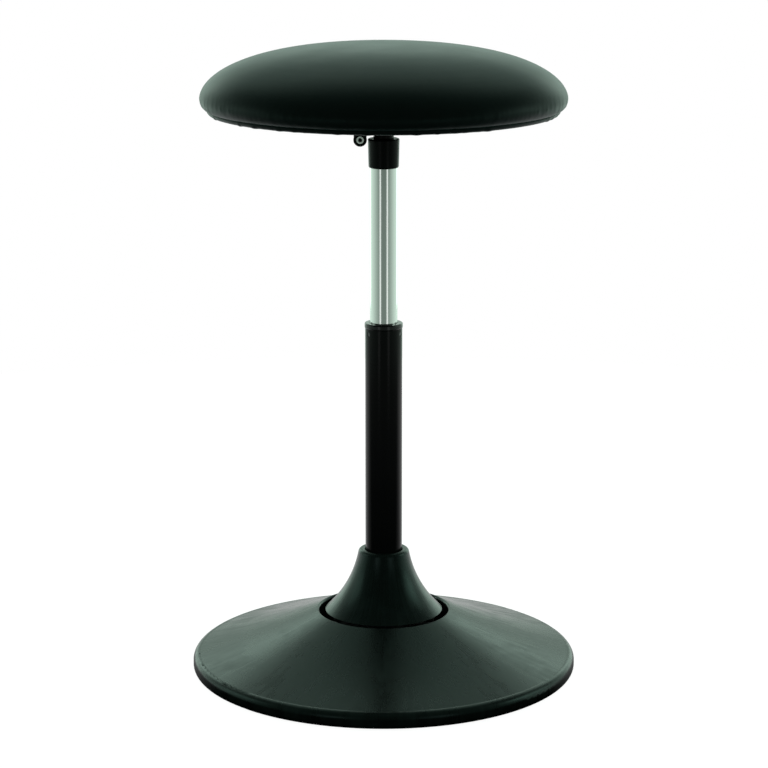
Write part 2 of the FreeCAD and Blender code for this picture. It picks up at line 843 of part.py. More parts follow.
def make_gas_cylinder():
    taper_radius = cylinder_radius - size.taper_shrink
    turned("gas_cylinder", [
        (cylinder_bore, cylinder_bottom),
        (cylinder_radius - size.bore_chamfer, cylinder_bottom),
        (cylinder_radius, cylinder_bottom + size.bore_chamfer),
        (cylinder_radius, cup_bottom),
        (taper_radius, cylinder_top),
        (cylinder_bore, cylinder_top),
    ])
    rod_bore = rod_radius + size.slide_clearance
    turned("rod_guide", ring(rod_bore, cylinder_bore, cylinder_bottom, seal_bottom))
    turned("rod_seal", ring(rod_bore, cylinder_bore, seal_bottom, seal_top))


def make_valve():
    pin_radius = size.pin_diameter / 2
    pin_foot = cylinder_top - size.pin_depth
    pin_bore = pin_radius + size.slide_clearance
    valve_floor = pin_foot - size.pin_travel - size.pin_head_gap
    turned("valve_body", [
        (0, valve_bottom),
        (cylinder_bore, valve_bottom),
        (cylinder_bore, cylinder_top),
        (pin_bore, cylinder_top),
        (pin_bore, valve_floor),
        (0, valve_floor),
    ])
    head_radius = size.pin_head_diameter / 2
    dome_radius = (head_radius * head_radius / size.pin_dome_rise + size.pin_dome_rise) / 2
    turned("valve_pin", [
        (0, pin_foot),
        (pin_radius, pin_foot),
        (pin_radius, pin_head_bottom),
        (head_radius, pin_head_bottom),
        (head_radius, pin_top - size.pin_dome_rise),
        bulge(0, pin_top, dome_radius),
    ])


# Seat mount and release lever
def make_seat_socket():
    """Tapered cup on the gas spring, with a narrow neck that carries the seat plate."""
    mouth = cylinder_radius + size.fit_clearance
    ceiling_radius = mouth - size.taper_shrink
    foot_radius = cylinder_radius + size.cup_wall
    top_radius = foot_radius + size.cup_flare
    neck_radius = size.neck_diameter / 2
    neck_bore = size.neck_bore / 2
    edge = size.cup_wall
    body = turned("seat_socket", [
        (mouth, cup_bottom),
        bulge(foot_radius, cup_bottom + size.cup_round, size.cup_round),
        (top_radius, cup_top - edge),
        bulge(top_radius - edge, cup_top, edge),
        (neck_radius, cup_top),
        (neck_radius, seat_plate_top),
        (neck_bore, seat_plate_top),
        (neck_bore, cup_ceiling),
        (ceiling_radius, cup_ceiling),
    ])
    sketch = new_sketch(body, "YZ_Plane", "lever_slot_outline")
    half = size.tab_width / 2 + size.slot_gap
    bottom = tab_bottom - size.slot_below
    top = tab_top + size.slot_above
    draw(sketch, [(-half, bottom), (half, bottom), (half, top), (-half, top)])
    extrude(body, "Pocket", "lever_slot", sketch, size.neck_diameter)


def make_seat_plate():
    """Pressed plate with folded side lips, four bolt holes and two ears for the lever."""
    body = new_body("seat_plate")
    half = size.plate_width / 2
    corner = size.plate_corner
    flat = half - corner
    outline = new_sketch(body, "XY_Plane", "plate_outline", seat_plate_bottom)
    draw(outline, [
        bulge(-flat, -half, corner),
        (flat, -half),
        bulge(half, -flat, corner),
        (half, flat),
        bulge(flat, half, corner),
        (-flat, half),
        bulge(-half, flat, corner),
        (-half, -flat),
    ])
    extrude(body, "Pad", "plate", outline, size.plate_thickness)

    lips = new_sketch(body, "XY_Plane", "lip_outline", seat_plate_bottom - size.plate_lip)
    draw(lips, ring(-half, size.plate_thickness - half, -flat, flat))
    draw(lips, ring(half - size.plate_thickness, half, -flat, flat))
    extrude(body, "Pad", "lips", lips, size.plate_lip)

    ear_half = size.bush_flange_diameter / 2 - size.ear_edge_gap
    left = -size.lever_offset - ear_half
    right = -size.lever_offset + ear_half
    for name, offset, inwards in (("front", size.ear_reach, True), ("rear", -size.ear_reach, False)):
        ear = new_sketch(body, "XZ_Plane", f"{name}_ear_outline", offset)
        draw(ear, [
            bulge(right, lever_height, ear_half),
            (right, seat_plate_bottom),
            (left, seat_plate_bottom),
            (left, lever_height),
            bulge(-size.lever_offset, lever_height - ear_half, ear_half),
        ])
        extrude(body, "Pad", f"{name}_ear", ear, size.ear_thickness, reverse=inwards)

    ear_holes = new_sketch(body, "XZ_Plane", "ear_hole_circle")
    draw_circle(ear_holes, -size.lever_offset, lever_height, bush_spigot_radius)
    extrude(body, "Pocket", "ear_holes", ear_holes, size.ear_reach * 2, symmetric=True)

    neck_hole = new_sketch(body, "XY_Plane", "neck_hole_circle", seat_plate_bottom)
    draw_circle(neck_hole, 0, 0, size.neck_diameter / 2 + size.fit_clearance)
    extrude(body, "Pocket", "neck_hole", neck_hole, size.plate_thickness, reverse=True)

    circle = new_sketch(body, "XY_Plane", "bolt_hole_circle", seat_plate_bottom)
    place = size.bolt_spacing / 2
    draw_circle(circle, place, place, size.bolt_diameter / 2 + size.hole_clearance)
    bolt_hole = extrude(body, "Pocket", "bolt_holes", circle, size.plate_thickness, reverse=True)
    repeat(body, [bolt_hole], bolt_count)


def make_lever_bushes():
    """Two flanged bushes, one from each side of the ears."""
    body = new_body("lever_bushes")
    bore = lever_bore - size.lever_offset
    spigot = bush_spigot_radius - size.lever_offset
    flange = size.bush_flange_diameter / 2 - size.lever_offset
    outer = size.ear_reach + size.bush_flange_thickness
    inner = size.ear_reach - size.ear_thickness - size.bush_spigot_wall
    lever_line = {"reach": -size.lever_offset, "plane": "XY_Plane", "offset": lever_height}
    spin(body, "Revolution", "front_bush", [
        (bore, -outer),
        (flange, -outer),
        (flange, -size.ear_reach),
        (spigot, -size.ear_reach),
        (spigot, -inner),
        (bore, -inner),
    ], **lever_line)
    spin(body, "Revolution", "rear_bush", [
        (bore, inner),
        (spigot, inner),
        (spigot, size.ear_reach),
        (flange, size.ear_reach),
        (flange, outer),
        (bore, outer),
    ], **lever_line)


def lever_handle():
    """Where the lever's handle starts, as two coordinates, and its way out as a sine and a cosine."""
    turn_sine, turn_cosine = sine(size.lever_turn), cosine(size.lever_turn)
    across = size.lever_bend * (turn_cosine - 1) - size.lever_offset
    along_rod = size.lever_straight + size.lever_bend * turn_sine
    return across, along_rod, turn_sine, turn_cosine


def make_release_lever():
    """Bent rod with a collar and a tab that reaches over the valve pin."""
    body = new_body("release_lever")
    across, along_rod, turn_sine, turn_cosine = lever_handle()
    section = new_sketch(body, "XZ_Plane", "rod_section", lever_front)
    draw_circle(section, -size.lever_offset, lever_height, lever_radius)
    path = new_sketch(body, "XY_Plane", "rod_path", lever_height)
    draw(path, [
        (-size.lever_offset, -lever_front),
        (-size.lever_offset, size.lever_straight),
        bulge(across, along_rod, size.lever_bend),
        (across - size.lever_reach * turn_sine, along_rod + size.lever_reach * turn_cosine),
    ], closed=False)
    rod = body.newObject("PartDesign::AdditivePipe", "rod")
    rod.Profile = section
    rod.Spine = (path, ["Edge1", "Edge2", "Edge3"])

    collar = new_sketch(body, "XZ_Plane", "collar_circle")
    draw_circle(collar, -size.lever_offset, lever_height, lever_radius + size.lever_collar_wall)
    extrude(body, "Pad", "collar", collar, size.tab_width, symmetric=True)
    tab = new_sketch(body, "XZ_Plane", "tab_outline")
    draw(tab, ring(-size.lever_offset - lever_radius, size.tab_overhang, tab_bottom, tab_top))
    extrude(body, "Pad", "tab", tab, size.tab_width, symmetric=True)


def make_lever_clip():
    body = new_body("lever_clip")
    back = size.ear_reach + size.bush_flange_thickness + size.fit_clearance
    front = back + size.lever_clip_thickness
    bore = lever_radius - size.lever_offset
    spin(
        body, "Revolution", "clip", ring(bore, bore + size.lever_clip_width, -front, -back),
        reach=-size.lever_offset, plane="XY_Plane", offset=lever_height,
    )


def make_lever_grip():
    bore = lever_bore
    outer = bore + size.grip_wall
    top = size.grip_length + size.grip_wall
    half_length = (top - outer - size.grip_round) / 2
    swell_radius = (half_length * half_length / size.grip_swell + size.grip_swell) / 2
    body = turned("lever_grip", [
        (bore, 0),
        (outer - size.grip_round / 2, 0),
        bulge(outer, size.grip_round, size.grip_round * 2),
        bulge(outer, top - outer, swell_radius),
        bulge(0, top, outer),
        (0, size.grip_length),
        (bore, size.grip_length),
    ])
    across, along_rod, turn_sine, turn_cosine = lever_handle()
    bare = size.lever_reach - size.grip_length
    bind(body, "Placement.Base.x", across - bare * turn_sine)
    bind(body, "Placement.Base.y", along_rod + bare * turn_cosine)
    bind(body, "Placement.Base.z", lever_height)
    bind(body, "Placement.Rotation.Axis.x", -turn_cosine)
    bind(body, "Placement.Rotation.Axis.y", -turn_sine)
    bind(body, "Placement.Rotation.Axis.z", 0)
    bind(body, "Placement.Rotation.Angle", 90)


# Seat
def make_seat_board():
    reach = bolt_circle
    body = turned("seat_board", ring(0, board_radius, board_bottom, board_top))
    barrel = reach + size.nut_barrel_diameter / 2 + size.fit_clearance
    flange = reach + size.nut_flange_diameter / 2 + size.fit_clearance
    shelf = board_top - size.nut_flange_thickness
    drill(body, "nut_seats", [
        (reach, board_bottom),
        (barrel, board_bottom),
        (barrel, shelf),
        (flange, shelf),
        (flange, board_top),
        (reach, board_top),
    ], reach, bolt_count)
    bind(body, "Placement.Rotation.Angle", size.bolt_turn)


def make_seat_fasteners():
    reach = bolt_circle
    bolt_radius = size.bolt_diameter / 2
    thread_bore = reach + bolt_radius + size.fit_clearance
    barrel = reach + size.nut_barrel_diameter / 2
    shelf = board_top - size.nut_flange_thickness
    nuts = turned_set("t_nuts", [
        (thread_bore, board_top - size.nut_length),
        (barrel, board_top - size.nut_length),
        (barrel, shelf),
        (reach + size.nut_flange_diameter / 2, shelf),
        (reach + size.nut_flange_diameter / 2, board_top),
        (thread_bore, board_top),
    ], reach, bolt_count)

    washer_bottom = seat_plate_bottom - size.washer_thickness
    washer = ring(thread_bore, reach + size.washer_diameter / 2, washer_bottom, seat_plate_bottom)
    washers = turned_set("bolt_washers", washer, reach, bolt_count)

    bolts = new_body("seat_bolts")
    head_bottom = washer_bottom - size.bolt_head_height
    head_radius = size.bolt_head_diameter / 2
    bolt = spin(bolts, "Revolution", "bolt", [
        (reach, head_bottom),
        (reach + bolt_radius, head_bottom),
        bulge(reach + head_radius, washer_bottom - size.washer_thickness, size.bolt_head_height),
        (reach + head_radius, washer_bottom),
        (reach + bolt_radius, washer_bottom),
        (reach + bolt_radius, washer_bottom + size.bolt_length),
        (reach, washer_bottom + size.bolt_length),
    ], reach)
    socket = new_sketch(bolts, "XY_Plane", "socket_hexagon", head_bottom)
    corner_reach = size.bolt_socket_width / 2
    side_reach = corner_reach * root(as_size(3)) / 2
    draw(socket, [
        (reach + corner_reach, 0),
        (reach + corner_reach / 2, side_reach),
        (reach - corner_reach / 2, side_reach),
        (reach - corner_reach, 0),
        (reach - corner_reach / 2, -side_reach),
        (reach + corner_reach / 2, -side_reach),
    ])
    hexagon = extrude(bolts, "Pocket", "socket", socket, size.bolt_socket_depth, reverse=True)
    repeat(bolts, [bolt, hexagon], bolt_count)
    for body in (nuts, washers, bolts):
        bind(body, "Placement.Rotation.Angle", size.bolt_turn)


def make_dust_cloth():
    reach = bolt_circle
    edge = seat_radius - size.seat_edge_drop - size.hem_width - size.cloth_edge_gap
    body = turned("dust_cloth", ring(0, edge, seat_plate_top, board_bottom))
    hole_edge = reach + size.bolt_diameter / 2 + size.hole_clearance
    hole = ring(reach, hole_edge, seat_plate_top, board_bottom)
    drill(body, "cloth_bolt_holes", hole, reach, bolt_count)
    bind(body, "Placement.Rotation.Angle", size.bolt_turn)


def seat_surface(inset):
    """Seat outline at an inset: the drawn-in lower edge, the shoulder and the crown, as three arcs."""
    crown_gap = size.crown_height - size.crown_edge
    span = seat_radius * seat_radius - seat_radius * size.crown_edge * 2
    crown_radius = (span + size.crown_height * size.crown_height) / (crown_gap * 2)
    spread = crown_radius - size.crown_edge
    shoulder = size.crown_edge - inset
    meet_across = (seat_radius - size.crown_edge) * (shoulder / spread + 1)
    meet_up = widest_height + (crown_radius - size.crown_height) * shoulder / spread
    return [
        (seat_radius - size.seat_edge_drop, cover_bottom + inset),
        bulge(seat_radius - inset, widest_height, size.seat_edge_drop - inset),
        bulge(meet_across, meet_up, shoulder),
        bulge(0, widest_height + size.crown_height - inset, crown_radius - inset),
    ]


def make_seat_cover():
    """Leatherette skin over the foam, turned under the board in a hem."""
    hem_edge = seat_radius - size.seat_edge_drop - size.hem_width
    outside = seat_surface(as_size(0))
    inside = seat_surface(size.seat_cover_thickness)
    back_down = [inside[3][:2]]
    for step in (2, 1, 0):
        back_down.append(hollow(inside[step][0], inside[step][1], inside[step + 1][2]))
    turned("seat_cover", [
        (hem_edge, cover_bottom),
        *outside,
        *back_down,
        (hem_edge, cover_bottom + size.seat_cover_thickness),
    ])


def make_seat_foam():
    board_side = board_radius + size.seat_cover_gap
    surface = seat_surface(size.seat_cover_thickness + size.seat_cover_gap)
    turned("seat_foam", [
        (0, board_top), (board_side, board_top), (board_side, surface[0][1]), *surface
    ])


make_base_cover()
make_ballast_plate()
make_anti_slip_ring()
make_foot_screws()
make_spring_housing()
make_pivot_cup()
make_pivot_ball()
make_rubber_rings()
make_clamp_ring()
make_tilt_hub()
make_tube_grub_screws()
make_column_tube()
make_tube_floor()
make_guide_bush()
make_cone_cover()
make_swivel_bearing()
make_piston_rod()
make_bump_stop()
make_piston()
make_gas_cylinder()
make_valve()
make_seat_socket()
make_seat_plate()
make_lever_bushes()
make_release_lever()
make_lever_clip()
make_lever_grip()
make_seat_board()
make_seat_fasteners()
make_dust_cloth()
make_seat_cover()
make_seat_foam()
doc.recompute()

failed = [item.Label for item in doc.Objects if {"Invalid", "Error"} & set(item.State)]
unsound = [part.Label for part in sub_parts if part.Shape.isNull() or not part.Shape.isValid()]
if failed or unsound:
    raise RuntimeError(f"failed objects: {failed}, unsound shapes: {unsound}")

os.makedirs("parts", exist_ok=True)
for part in sub_parts:
    part.Shape.exportStep(f"parts/{part.Label}.step")
    box = part.Shape.BoundBox
    print(f"{part.Label}: {len(part.Shape.Solids)} solids, heights {box.ZMin:.2f} to {box.ZMax:.2f}")
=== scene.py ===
import math

import bpy
import numpy as np
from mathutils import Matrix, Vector


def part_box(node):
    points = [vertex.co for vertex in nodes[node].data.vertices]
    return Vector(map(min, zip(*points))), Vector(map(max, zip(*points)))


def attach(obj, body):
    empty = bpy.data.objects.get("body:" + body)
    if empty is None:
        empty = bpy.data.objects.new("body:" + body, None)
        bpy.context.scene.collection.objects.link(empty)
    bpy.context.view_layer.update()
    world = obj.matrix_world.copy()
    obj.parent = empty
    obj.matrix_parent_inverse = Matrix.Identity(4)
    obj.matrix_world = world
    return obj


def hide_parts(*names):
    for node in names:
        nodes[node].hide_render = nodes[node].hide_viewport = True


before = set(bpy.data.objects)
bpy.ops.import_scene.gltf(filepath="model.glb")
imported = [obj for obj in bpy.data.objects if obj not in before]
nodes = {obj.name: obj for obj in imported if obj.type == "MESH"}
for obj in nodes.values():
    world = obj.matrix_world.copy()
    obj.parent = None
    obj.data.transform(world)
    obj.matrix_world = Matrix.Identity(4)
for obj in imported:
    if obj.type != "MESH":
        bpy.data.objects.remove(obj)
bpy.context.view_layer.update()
scene = bpy.context.scene
mm = 0.001
noiseLow, noiseHigh = 0.3, 0.7  # most values of a noise texture lie between these
print("stool loaded:", len(nodes), "solid pieces")


# small tools

def linear(hexColour):
    # sRGB hex to linear red, green, blue and a full alpha
    parts = np.array([int(hexColour[i:i + 2], 16) for i in (1, 3, 5)]) / 255
    return (*np.where(parts <= 0.04045, parts / 12.92, ((parts + 0.055) / 1.055) ** 2.4), 1.0)


def addNode(tree, kind, values=None, links=None, **settings):
    # one node with its settings, its sockets' values and the links into it
    node = tree.nodes.new(kind)
    for name, value in settings.items():
        setattr(node, name, value)
    for socket, value in (values or {}).items():
        node.inputs[socket].default_value = value
    for socket, source in (links or {}).items():
        tree.links.new(source, node.inputs[socket])
    return node


def startFinish(name):
    # empty material with its shader and the piece's own coordinates, in metres
    material = bpy.data.materials.new(name)
    material.use_nodes = True
    tree = material.node_tree
    shader = tree.nodes["Principled BSDF"]
    place = addNode(tree, "ShaderNodeTexCoord").outputs["Object"]
    return material, tree, shader, place


def perMm(size):
    # texture scale that makes one cell this many millimetres wide
    return 1000 / size


def meshPiece(name, points, faces, material, smooth=True):
    mesh = bpy.data.meshes.new(name)
    mesh.from_pydata(points.reshape(-1, 3).tolist(), [], faces)
    mesh.update()
    if smooth:
        mesh.shade_smooth()
    else:
        mesh.shade_flat()
    piece = bpy.data.objects.new(name, mesh)
    scene.collection.objects.link(piece)
    mesh.materials.append(material)
    return piece


def gridFaces(rows, columns):
    # quads between neighbouring rows of a grid whose columns close into rings
    row, column = np.meshgrid(np.arange(rows - 1), np.arange(columns), indexing="ij")
    nextColumn = (column + 1) % columns
    quads = np.stack([row * columns + column, row * columns + nextColumn,
                      (row + 1) * columns + nextColumn, (row + 1) * columns + column], -1)
    return quads.reshape(-1, 4).tolist()


def onlySelected(piece):
    bpy.ops.object.select_all(action="DESELECT")
    piece.select_set(True)
    bpy.context.view_layer.objects.active = piece


# In the finishes, names that end in Mm are sizes in millimetres, and bump depths are in metres.

# PVC leatherette, embossed and calendered: a satin black with a fine pebble that spreads the highlight
# the green of its gloss and sheen tints is painted light, the studio light's green cast
leatherette = dict(dark="#040605", light="#070b0a", gloss="#bdebe4", patchMm=38,
                   roughLow=0.390, roughHigh=0.420,
                   pebbleMm=1.3, pebbleScatter=0.9, pebbleDepth=0.00004, pebbleStrength=0.6,
                   creaseMm=9, creaseDepth=0.00006, creaseStrength=0.35,
                   ior=1.46, specular=0.13, sheen=0.09, sheenRough=0.45, sheenTint="#7ccac2")


def makeLeatherette():
    look = leatherette
    material, tree, shader, place = startFinish("black PVC leatherette")
    pebble = addNode(tree, "ShaderNodeTexVoronoi",
                     {"Scale": perMm(look["pebbleMm"]), "Randomness": look["pebbleScatter"]},
                     {"Vector": place}, feature="SMOOTH_F1")
    crease = addNode(tree, "ShaderNodeTexNoise", {"Scale": perMm(look["creaseMm"]), "Detail": 4.0},
                     {"Vector": place})
    patch = addNode(tree, "ShaderNodeTexNoise", {"Scale": perMm(look["patchMm"]), "Detail": 3.0},
                    {"Vector": place})
    tone = addNode(tree, "ShaderNodeMix", {6: linear(look["dark"]), 7: linear(look["light"])},
                   {0: patch.outputs["Fac"]}, data_type="RGBA")
    rough = addNode(tree, "ShaderNodeMapRange",
                    {"From Min": noiseLow, "From Max": noiseHigh,
                     "To Min": look["roughLow"], "To Max": look["roughHigh"]},
                    {"Value": patch.outputs["Fac"]})
    soft = addNode(tree, "ShaderNodeBump",
                   {"Strength": look["creaseStrength"], "Distance": look["creaseDepth"]},
                   {"Height": crease.outputs["Fac"]})
    grain = addNode(tree, "ShaderNodeBump",
                    {"Strength": look["pebbleStrength"], "Distance": look["pebbleDepth"]},
                    {"Height": pebble.outputs["Distance"], "Normal": soft.outputs["Normal"]})
    tree.links.new(tone.outputs[2], shader.inputs["Base Color"])
    tree.links.new(rough.outputs["Result"], shader.inputs["Roughness"])
    tree.links.new(grain.outputs["Normal"], shader.inputs["Normal"])
    shader.inputs["IOR"].default_value = look["ior"]
    shader.inputs["Specular IOR Level"].default_value = look["specular"]
    # painted light: the green of the gloss and sheen tints is the studio light's green cast
    shader.inputs["Specular Tint"].default_value = linear(look["gloss"])
    shader.inputs["Sheen Weight"].default_value = look["sheen"]
    shader.inputs["Sheen Roughness"].default_value = look["sheenRough"]
    shader.inputs["Sheen Tint"].default_value = linear(look["sheenTint"])
    return material


# Injection-moulded polypropylene with an eroded grain: satin black, with faint streaks that run from the
# middle to the rim, where cloths and shoes have rubbed it
# the green of the gloss tint is painted light, the studio light's green cast
footPlastic = dict(dark="#040605", rubbed="#090e0c", gloss="#bdebe4", roughLow=0.265, roughHigh=0.365,
                   streaks=26, scuffMm=34, scuffBend=0.8, wearDetail=3.0, wearRough=0.55,
                   wornFrom=0.18, wornTo=0.40,
                   grainMm=0.9, grainDepth=0.000025, grainStrength=0.12, ior=1.49, specular=0.44)


def makeMouldedFoot():
    look = footPlastic
    material, tree, shader, place = startFinish("moulded black polypropylene")
    # the streaks' noise is read by heading and reach, so that it runs out from the middle
    flat = addNode(tree, "ShaderNodeVectorMath", {1: (1, 1, 0)}, {0: place}, operation="MULTIPLY")
    reach = addNode(tree, "ShaderNodeVectorMath", links={0: flat.outputs[0]}, operation="LENGTH")
    heading = addNode(tree, "ShaderNodeVectorMath", links={0: flat.outputs[0]}, operation="NORMALIZE")
    rise = addNode(tree, "ShaderNodeCombineXYZ", links={"Z": reach.outputs["Value"]})
    spoke = addNode(tree, "ShaderNodeVectorMath", links={0: heading.outputs[0], 1: rise.outputs[0]},
                    operation="ADD")
    streak = addNode(tree, "ShaderNodeTexNoise",
                     {"Scale": look["streaks"], "Detail": look["wearDetail"], "Roughness": look["wearRough"]},
                     {"Vector": spoke.outputs[0]})
    scuff = addNode(tree, "ShaderNodeTexNoise",
                    {"Scale": perMm(look["scuffMm"]), "Detail": look["wearDetail"],
                     "Roughness": look["wearRough"], "Distortion": look["scuffBend"]}, {"Vector": place})
    grain = addNode(tree, "ShaderNodeTexNoise", {"Scale": perMm(look["grainMm"]), "Detail": 2.0},
                    {"Vector": place})
    wear = addNode(tree, "ShaderNodeMath", links={0: streak.outputs["Fac"], 1: scuff.outputs["Fac"]},
                   operation="MULTIPLY")
    worn = addNode(tree, "ShaderNodeMapRange", {"From Min": look["wornFrom"], "From Max": look["wornTo"]},
                   {"Value": wear.outputs[0]})
    tone = addNode(tree, "ShaderNodeMix", {6: linear(look["dark"]), 7: linear(look["rubbed"])},
                   {0: worn.outputs["Result"]}, data_type="RGBA")
    rough = addNode(tree, "ShaderNodeMapRange", {"To Min": look["roughLow"], "To Max": look["roughHigh"]},
                    {"Value": worn.outputs["Result"]})
    bump = addNode(tree, "ShaderNodeBump",
                   {"Strength": look["grainStrength"], "Distance": look["grainDepth"]},
                   {"Height": grain.outputs["Fac"]})
    tree.links.new(tone.outputs[2], shader.inputs["Base Color"])
    tree.links.new(rough.outputs["Result"], shader.inputs["Roughness"])
    tree.links.new(bump.outputs["Normal"], shader.inputs["Normal"])
    shader.inputs["IOR"].default_value = look["ior"]
    shader.inputs["Specular IOR Level"].default_value = look["specular"]
    # painted light: the gloss tint carries the studio light's green cast
    shader.inputs["Specular Tint"].default_value = linear(look["gloss"])
    return material


# Decorative chrome over drawn steel: a clean mirror with fine lengthwise polishing lines
chromePlate = dict(colour="#e6e8e6", lineMm=0.5, lineSquash=0.01, hazeMm=30, hazeFrom=0.12, hazeTo=0.38,
                   roughLow=0.05, roughHigh=0.12)


def makeChromePlate():
    look = chromePlate
    material, tree, shader, place = startFinish("chrome plated steel")
    upright = addNode(tree, "ShaderNodeMapping", {"Scale": (1, 1, look["lineSquash"])}, {"Vector": place})
    line = addNode(tree, "ShaderNodeTexNoise", {"Scale": perMm(look["lineMm"]), "Detail": 2.0},
                   {"Vector": upright.outputs[0]})
    haze = addNode(tree, "ShaderNodeTexNoise", {"Scale": perMm(look["hazeMm"]), "Detail": 3.0},
                   {"Vector": place})
    both = addNode(tree, "ShaderNodeMath", links={0: line.outputs["Fac"], 1: haze.outputs["Fac"]},
                   operation="MULTIPLY")
    rough = addNode(tree, "ShaderNodeMapRange",
                    {"From Min": look["hazeFrom"], "From Max": look["hazeTo"],
                     "To Min": look["roughLow"], "To Max": look["roughHigh"]}, {"Value": both.outputs[0]})
    tree.links.new(rough.outputs["Result"], shader.inputs["Roughness"])
    shader.inputs["Base Color"].default_value = linear(look["colour"])
    shader.inputs["Metallic"].default_value = 1.0
    return material


# Secondary finishes: two tones in soft patches, a grit that catches the light, and a roughness that wanders
finishes = {
    # polyester powder coat, baked: an even black with a slight orange peel
    "black powder coated steel": dict(dark="#040505", light="#070808", patchMm=45, gritMm=1.6,
                                      gritDepth=0.00006, roughLow=0.13, roughHigh=0.19,
                                      metallic=0.0, specular=0.13),
    # cathodic dip paint on steel: thin, dull and near black
    "black dip painted steel": dict(dark="#030404", light="#060707", patchMm=20, gritMm=0.8,
                                    gritDepth=0.00006, roughLow=0.24, roughHigh=0.32,
                                    metallic=0.0, specular=0.08),
    # acetal, moulded: dense black with a waxy gloss
    "black acetal": dict(dark="#040505", light="#080909", patchMm=15, gritMm=0.7, gritDepth=0.00004,
                         roughLow=0.16, roughHigh=0.24, metallic=0.0, specular=0.45),
    # nylon, natural: milky grey and waxy
    "natural nylon": dict(dark="#b9b7ad", light="#d2d0c6", patchMm=8, gritMm=0.6, gritDepth=0.00004,
                          roughLow=0.36, roughHigh=0.48, metallic=0.0),
    # a pale colour that stands as a painted highlight on the lever's end: clean and waxy
    "pale ring as painted highlight": dict(dark="#e6e8e5", light="#f4f5f3", patchMm=6, gritMm=0.5, gritDepth=0.00003,
                        roughLow=0.34, roughHigh=0.46, metallic=0.0),
    # vulcanised rubber: dull black with a dusty bloom
    "vulcanised rubber": dict(dark="#0d0e0e", light="#1d1e1d", patchMm=12, gritMm=0.9, gritDepth=0.00010,
                              roughLow=0.62, roughHigh=0.82, metallic=0.0),
    # ground and hardened steel: a cool, close polish
    "ground steel": dict(dark="#8d9194", light="#a6aaac", patchMm=18, gritMm=0.4, gritDepth=0.00002,
                         roughLow=0.16, roughHigh=0.28, metallic=1.0),
    # zinc plate, clear passivated: a bluish, slightly clouded silver
    "zinc plated steel": dict(dark="#8b9196", light="#aeb4b8", patchMm=4, gritMm=0.5, gritDepth=0.00003,
                              roughLow=0.28, roughHigh=0.42, metallic=1.0),
    # zinc flake coat on spring steel: a pale, even silver without much shine
    "zinc flake coated steel": dict(dark="#c3c7c6", light="#dadddb", patchMm=3, gritMm=0.3, gritDepth=0.00003,
                                    roughLow=0.40, roughHigh=0.52, metallic=0.2),
    # pressure die-cast aluminium: pale grey skin with a fine grit
    "die cast aluminium": dict(dark="#8a8c8d", light="#a3a5a5", patchMm=14, gritMm=0.9, gritDepth=0.00008,
                               roughLow=0.42, roughHigh=0.58, metallic=1.0),
    # the same casting, its colour darkened as painted shade: the gap round the cone is in shade, and nothing
    # bright shows through it
    "casting darkened as painted shade": dict(dark="#050606", light="#0a0b0b", patchMm=14, gritMm=0.9, gritDepth=0.00008,
                                  roughLow=0.50, roughHigh=0.64, metallic=0.0, specular=0.12),
    # black oxide on steel screws: a thin, oily black; on the clamp screws in the gap round the cone the black
    # is also painted shade
    "black oxide steel and painted shade": dict(dark="#060607", light="#0b0c0c", patchMm=5, gritMm=0.5, gritDepth=0.00003,
                              roughLow=0.40, roughHigh=0.54, metallic=0.0, specular=0.15),
    # turned brass: warm yellow, softly scored
    "turned brass": dict(dark="#9c8147", light="#b4975a", patchMm=9, gritMm=0.4, gritDepth=0.00003,
                         roughLow=0.24, roughHigh=0.36, metallic=1.0),
    # hot-rolled plate, painted black: a coarse skin of scale under the paint
    "painted ballast plate": dict(dark="#101111", light="#1c1d1d", patchMm=32, gritMm=2.4, gritDepth=0.00018,
                                  roughLow=0.48, roughHigh=0.68, metallic=0.0),
}
plainSpecular = 0.5  # for the finishes that state none
gritStrength = 0.5


def makeFinish(name, look):
    material, tree, shader, place = startFinish(name)
    patch = addNode(tree, "ShaderNodeTexNoise", {"Scale": perMm(look["patchMm"]), "Detail": 4.0},
                    {"Vector": place})
    grit = addNode(tree, "ShaderNodeTexNoise", {"Scale": perMm(look["gritMm"]), "Detail": 2.0},
                   {"Vector": place})
    tone = addNode(tree, "ShaderNodeMix", {6: linear(look["dark"]), 7: linear(look["light"])},
                   {0: patch.outputs["Fac"]}, data_type="RGBA")
    rough = addNode(tree, "ShaderNodeMapRange",
                    {"From Min": noiseLow, "From Max": noiseHigh,
                     "To Min": look["roughLow"], "To Max": look["roughHigh"]},
                    {"Value": patch.outputs["Fac"]})
    bump = addNode(tree, "ShaderNodeBump", {"Strength": gritStrength, "Distance": look["gritDepth"]},
                   {"Height": grit.outputs["Fac"]})
    tree.links.new(tone.outputs[2], shader.inputs["Base Color"])
    tree.links.new(rough.outputs["Result"], shader.inputs["Roughness"])
    tree.links.new(bump.outputs["Normal"], shader.inputs["Normal"])
    shader.inputs["Metallic"].default_value = look["metallic"]
    shader.inputs["Specular IOR Level"].default_value = look.get("specular", plainSpecular)
    return material


# Birch plywood: pale veneers with their grain, and darker glue lines round the edge
plywood = dict(pale="#c9a877", dark="#a17c4d", glue="#5c422a", veneerMm=1.5, glueMm=0.18,
               grainMm=3.0, grainSquash=0.08, grainBend=0.6, rough=0.62)


